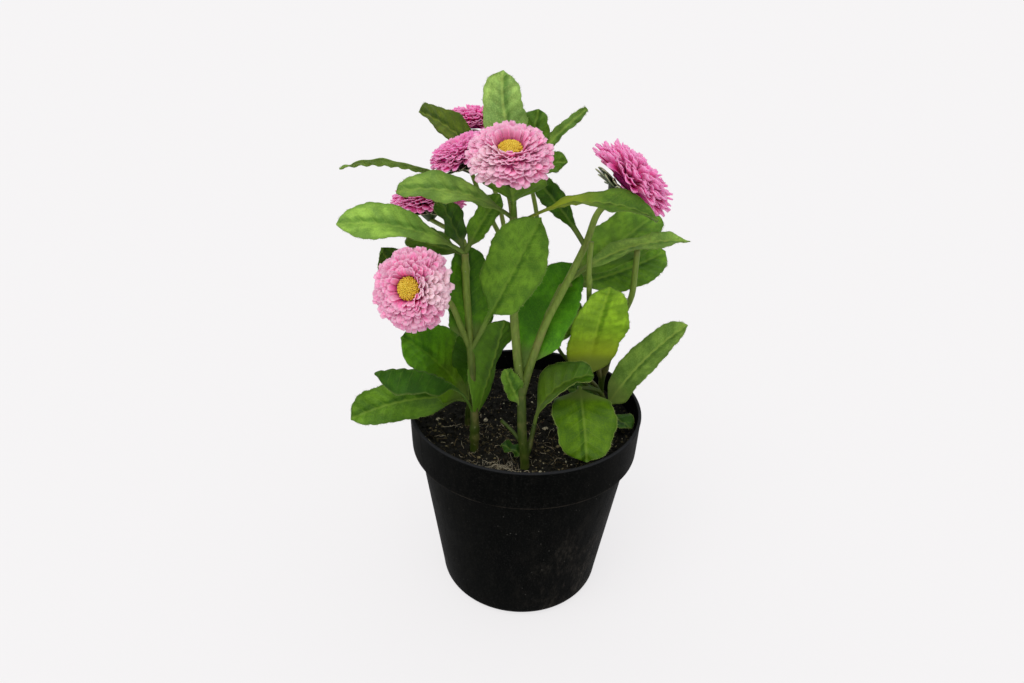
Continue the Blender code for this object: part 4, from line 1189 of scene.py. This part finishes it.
def stalk_material():
    g = Graph("stalk_green_looks")
    place = g.place()
    stretched = g.scaled(place, (1.0, 1.0, 0.22))
    streak = g.noise(stretched, 900.0, 3.0, 0.6)
    patch = g.noise(place, 70.0, 3.0, 0.6)
    fleck = g.noise(place, 700.0, 2.0, 0.5)
    height = g.split(place)[2]
    colour = g.mix(g.ramp(height, 0.12, 0.185), paint(50, 66, 10), paint(114, 135, 54))
    colour = g.mix(g.ramp(streak, 0.36, 0.66, 0.0, 0.7), colour, g.tint(colour, 0.6, 0.66, 0.5))
    colour = g.mix(g.ramp(patch, 0.5, 0.68, 0.0, 0.5), colour, paint(112, 104, 62))
    colour = g.mix(g.ramp(fleck, 0.68, 0.78, 0.0, 0.5), colour, paint(158, 164, 122))
    normal = g.bump(g.math("ADD", streak, g.times(fleck, 0.5)), 0.0003, 0.6)
    return g.finish(colour, 0.55, normal, specular=0.22)


def calyx_material():
    g = Graph("calyx_green_looks")
    across, along, _ = g.split(g.vector("petal_place"))
    out = g.math("ABSOLUTE", across)
    grain = g.noise(g.place(), 900.0, 3.0, 0.6)
    colour = g.mix(g.ramp(grain, 0.35, 0.7), paint(34, 48, 20), paint(66, 86, 40))
    colour = g.mix(g.times(g.ramp(out, 0.7, 1.0, 0.0, 0.8), along), colour, paint(196, 204, 164))
    normal = g.bump(grain, 0.0003, 0.6)
    return g.finish(colour, 0.55, normal, specular=0.3)


def petal_material():
    g = Graph("petal_pink_looks")
    across, along, seed = g.split(g.vector("petal_place"))
    out = g.math("ABSOLUTE", across)
    lines = g.noise(g.joined(g.times(across, 3.0), along, seed), 1.2, 3.0, 0.6)
    cloud = g.noise(g.joined(across, g.times(along, 3.0), seed), 0.9, 3.0, 0.6)
    colour = g.mix(g.ramp(along, 0.15, 0.7), g.vector("root_tone"), g.vector("tone"))
    pale = g.times(g.value("paleness"), g.ramp(along, 0.2, 0.6, 0.1, 1.0))
    colour = g.mix(pale, colour, paint(255, 240, 240))
    colour = g.mix(g.ramp(lines, 0.5, 0.75, 0.0, 0.3), colour, g.vector("root_tone"))
    tip = g.times(g.ramp(along, 0.62, 1.0, 0.0, 0.8), g.ramp(cloud, 0.3, 0.6, 0.3, 1.0))
    colour = g.mix(tip, colour, g.vector("tip_tone"))
    colour = g.mix(g.times(g.ramp(out, 0.6, 1.0, 0.0, 0.5), along), colour, g.vector("tip_tone"))
    normal = g.bump(lines, 0.0003, 0.5)
    return g.finish(colour, 0.6, normal, 0.5, specular=0.2)


def disc_material():
    g = Graph("disc_yellow_looks")
    # Painted shade: each floret darker towards its foot, in the crevices between florets.
    floret_crevice_shade = g.ramp(g.value("floret_height"), -0.4, 0.9)
    vary = g.value("floret")
    grain = g.noise(g.place(), 2500.0, 2.0, 0.5)
    colour = g.mix(vary, paint(206, 172, 44), paint(226, 200, 78))
    colour = g.mix(floret_crevice_shade, paint(160, 118, 20), colour)
    colour = g.mix(g.ramp(grain, 0.4, 0.7, 0.0, 0.35), colour, paint(176, 128, 24))
    return g.finish(colour, 0.75, g.bump(grain, 0.0002, 0.6), specular=0.2)


def soil_material():
    g = Graph("dark_soil_looks")
    place = g.place()
    grain = g.noise(place, 1400.0, 4.0, 0.65)
    patch = g.noise(place, 120.0, 3.0, 0.6)
    tone = g.vector("soil_tone")
    colour = g.mix(g.ramp(grain, 0.35, 0.65), g.tint(tone, 0.45, 0.45, 0.45), tone)
    colour = g.mix(g.ramp(patch, 0.4, 0.65, 0.0, 0.5), colour, g.tint(tone, 0.4, 0.38, 0.36))
    return g.finish(colour, 0.9, g.bump(grain, 0.0008, 0.8), specular=0.15)


def pot_material():
    g = Graph("black_plastic_looks")
    place = g.place()
    x, y, z = g.split(place)
    grain = g.noise(place, 2600.0, 3.0, 0.6)
    cloud = g.noise(place, 26.0, 4.0, 0.6)
    rub = g.noise(g.scaled(place, (1.0, 1.0, 0.45)), 150.0, 6.0, 0.7)
    low_right = g.times(g.ramp(x, -0.012, 0.034), g.ramp(z, 0.09, 0.02))
    streaks = g.noise(g.scaled(place, (1.0, 1.0, 0.3)), 800.0, 4.0, 0.7)
    scuff = g.times(g.ramp(rub, 0.42, 0.66), g.ramp(low_right, 0.0, 1.0, 0.1, 1.0))
    scuff = g.times(scuff, g.ramp(streaks, 0.4, 0.66, 0.15, 1.0))
    scuff = g.times(scuff, g.ramp(y, 0.0, -0.03, 0.15, 1.0))
    colour = g.mix(g.ramp(cloud, 0.35, 0.7), (0.0008, 0.001, 0.0009, 1), (0.0018, 0.002, 0.0018, 1))
    colour = g.mix(scuff, colour, (0.03, 0.026, 0.021, 1))
    speck = g.noise(place, 1500.0, 2.0, 0.6)
    colour = g.mix(g.ramp(speck, 0.52, 0.74, 0.0, 0.8), colour, (0.011, 0.011, 0.01, 1))
    dust = g.times(g.ramp(g.spots(place, 260.0), 0.1, 0.05), g.ramp(cloud, 0.5, 0.62))
    colour = g.mix(g.times(dust, 0.5), colour, (0.1, 0.095, 0.085, 1))
    # Painted highlight: a thin lighter line along the top of the lip.
    lip = g.ramp(z, POT_HEIGHT * MM - 0.0009, POT_HEIGHT * MM - 0.0002, 0.0, 0.5)
    colour = g.mix(lip, colour, (0.03, 0.031, 0.034, 1))
    # Painted highlight: a thin pale brownish line along the ledge under the band, broken by the rub noise.
    ledge_highlight = g.ramp(g.math("ABSOLUTE", g.math("SUBTRACT", z, LEDGE_LINE * MM)), 0.0012, 0.0002, 0.0, 0.9)
    colour = g.mix(g.times(ledge_highlight, g.ramp(rub, 0.35, 0.6)), colour, (0.03, 0.024, 0.018, 1))
    scratch = g.noise(g.scaled(place, (1.0, 1.0, 0.08)), 600.0, 2.0, 0.5)
    rough = g.math("ADD", g.ramp(cloud, 0.3, 0.7, 0.5, 0.6), g.ramp(scratch, 0.5, 0.8, 0.0, 0.12))
    normal = g.bump(g.math("ADD", grain, g.times(scratch, 0.4)), 0.00012, 0.5)
    return g.finish(colour, rough, normal, specular=0.012)


def make_materials():
    return {
        "leaf": leaf_material(),
        "stalk": stalk_material(),
        "calyx": calyx_material(),
        "petal": petal_material(),
        "disc": disc_material(),
        "soil": soil_material(),
        "pot": pot_material(),
    }


def make_stage():
    """A plain pale floor, wide enough to fill the view."""
    mesh = bpy.data.meshes.new("floor")
    corners = [(x * FLOOR_REACH, y * FLOOR_REACH, 0) for x, y in ((-1, -1), (1, -1), (1, 1), (-1, 1))]
    mesh.from_pydata(corners, [], [(0, 1, 2, 3)])
    floor = bpy.data.objects.new("floor", mesh)
    bpy.context.scene.collection.objects.link(floor)
    g = Graph("pale_floor")
    material = g.finish((0.15, 0.148, 0.149, 1), 0.9,
                        **{"Emission Color": (0.915, 0.9, 0.907, 1), "Emission Strength": FLOOR_GLOW})
    mesh.materials.append(material)


def make_light():
    """Soft light from all round, and a wide key light from the upper left."""
    world = bpy.data.worlds.new("studio")
    world.use_nodes = True
    back = world.node_tree.nodes["Background"]
    back.inputs["Color"].default_value = (0.98, 0.99, 1.0, 1)
    back.inputs["Strength"].default_value = WORLD_STRENGTH
    bpy.context.scene.world = world
    light = bpy.data.lights.new("key", "SUN")
    light.energy = KEY_STRENGTH
    light.angle = KEY_SPREAD
    light.color = (1.0, 0.985, 0.96)
    key = bpy.data.objects.new("key", light)
    key.rotation_euler = direction(*KEY_FROM).to_track_quat("Z", "Y").to_euler()
    bpy.context.scene.collection.objects.link(key)


def make_camera():
    """The photograph's view."""
    ahead = Vector((0, math.cos(PITCH), -math.sin(PITCH)))
    right = Vector((1, 0, 0))
    up = right.cross(ahead)
    across = right * math.cos(CAMERA_ROLL) + up * math.sin(CAMERA_ROLL)
    above = up * math.cos(CAMERA_ROLL) - right * math.sin(CAMERA_ROLL)
    place = (AIM - ahead * CAMERA_BACK + across * CAMERA_SIDE + above * CAMERA_RAISE) * MM
    data = bpy.data.cameras.new("camera")
    data.lens = LENS
    data.sensor_width = SENSOR
    data.clip_start = 0.01
    data.clip_end = 300.0
    camera = bpy.data.objects.new("camera", data)
    bpy.context.scene.collection.objects.link(camera)
    turn = Matrix((across, above, -ahead)).transposed().to_4x4()
    camera.matrix_world = Matrix.Translation(place) @ turn
    bpy.context.scene.camera = camera


def main():
    make_camera()
    make_light()
    make_stage()
    materials = make_materials()
    make_pot(materials)
    make_soil(materials)
    for growth in GROWTHS:
        make_leafy_stem(*growth, materials)
    for bloom in BLOOMS:
        make_bloom(bloom, materials)
        make_disc(bloom, materials)
    bpy.context.scene.view_settings.view_transform = "Standard"


main()
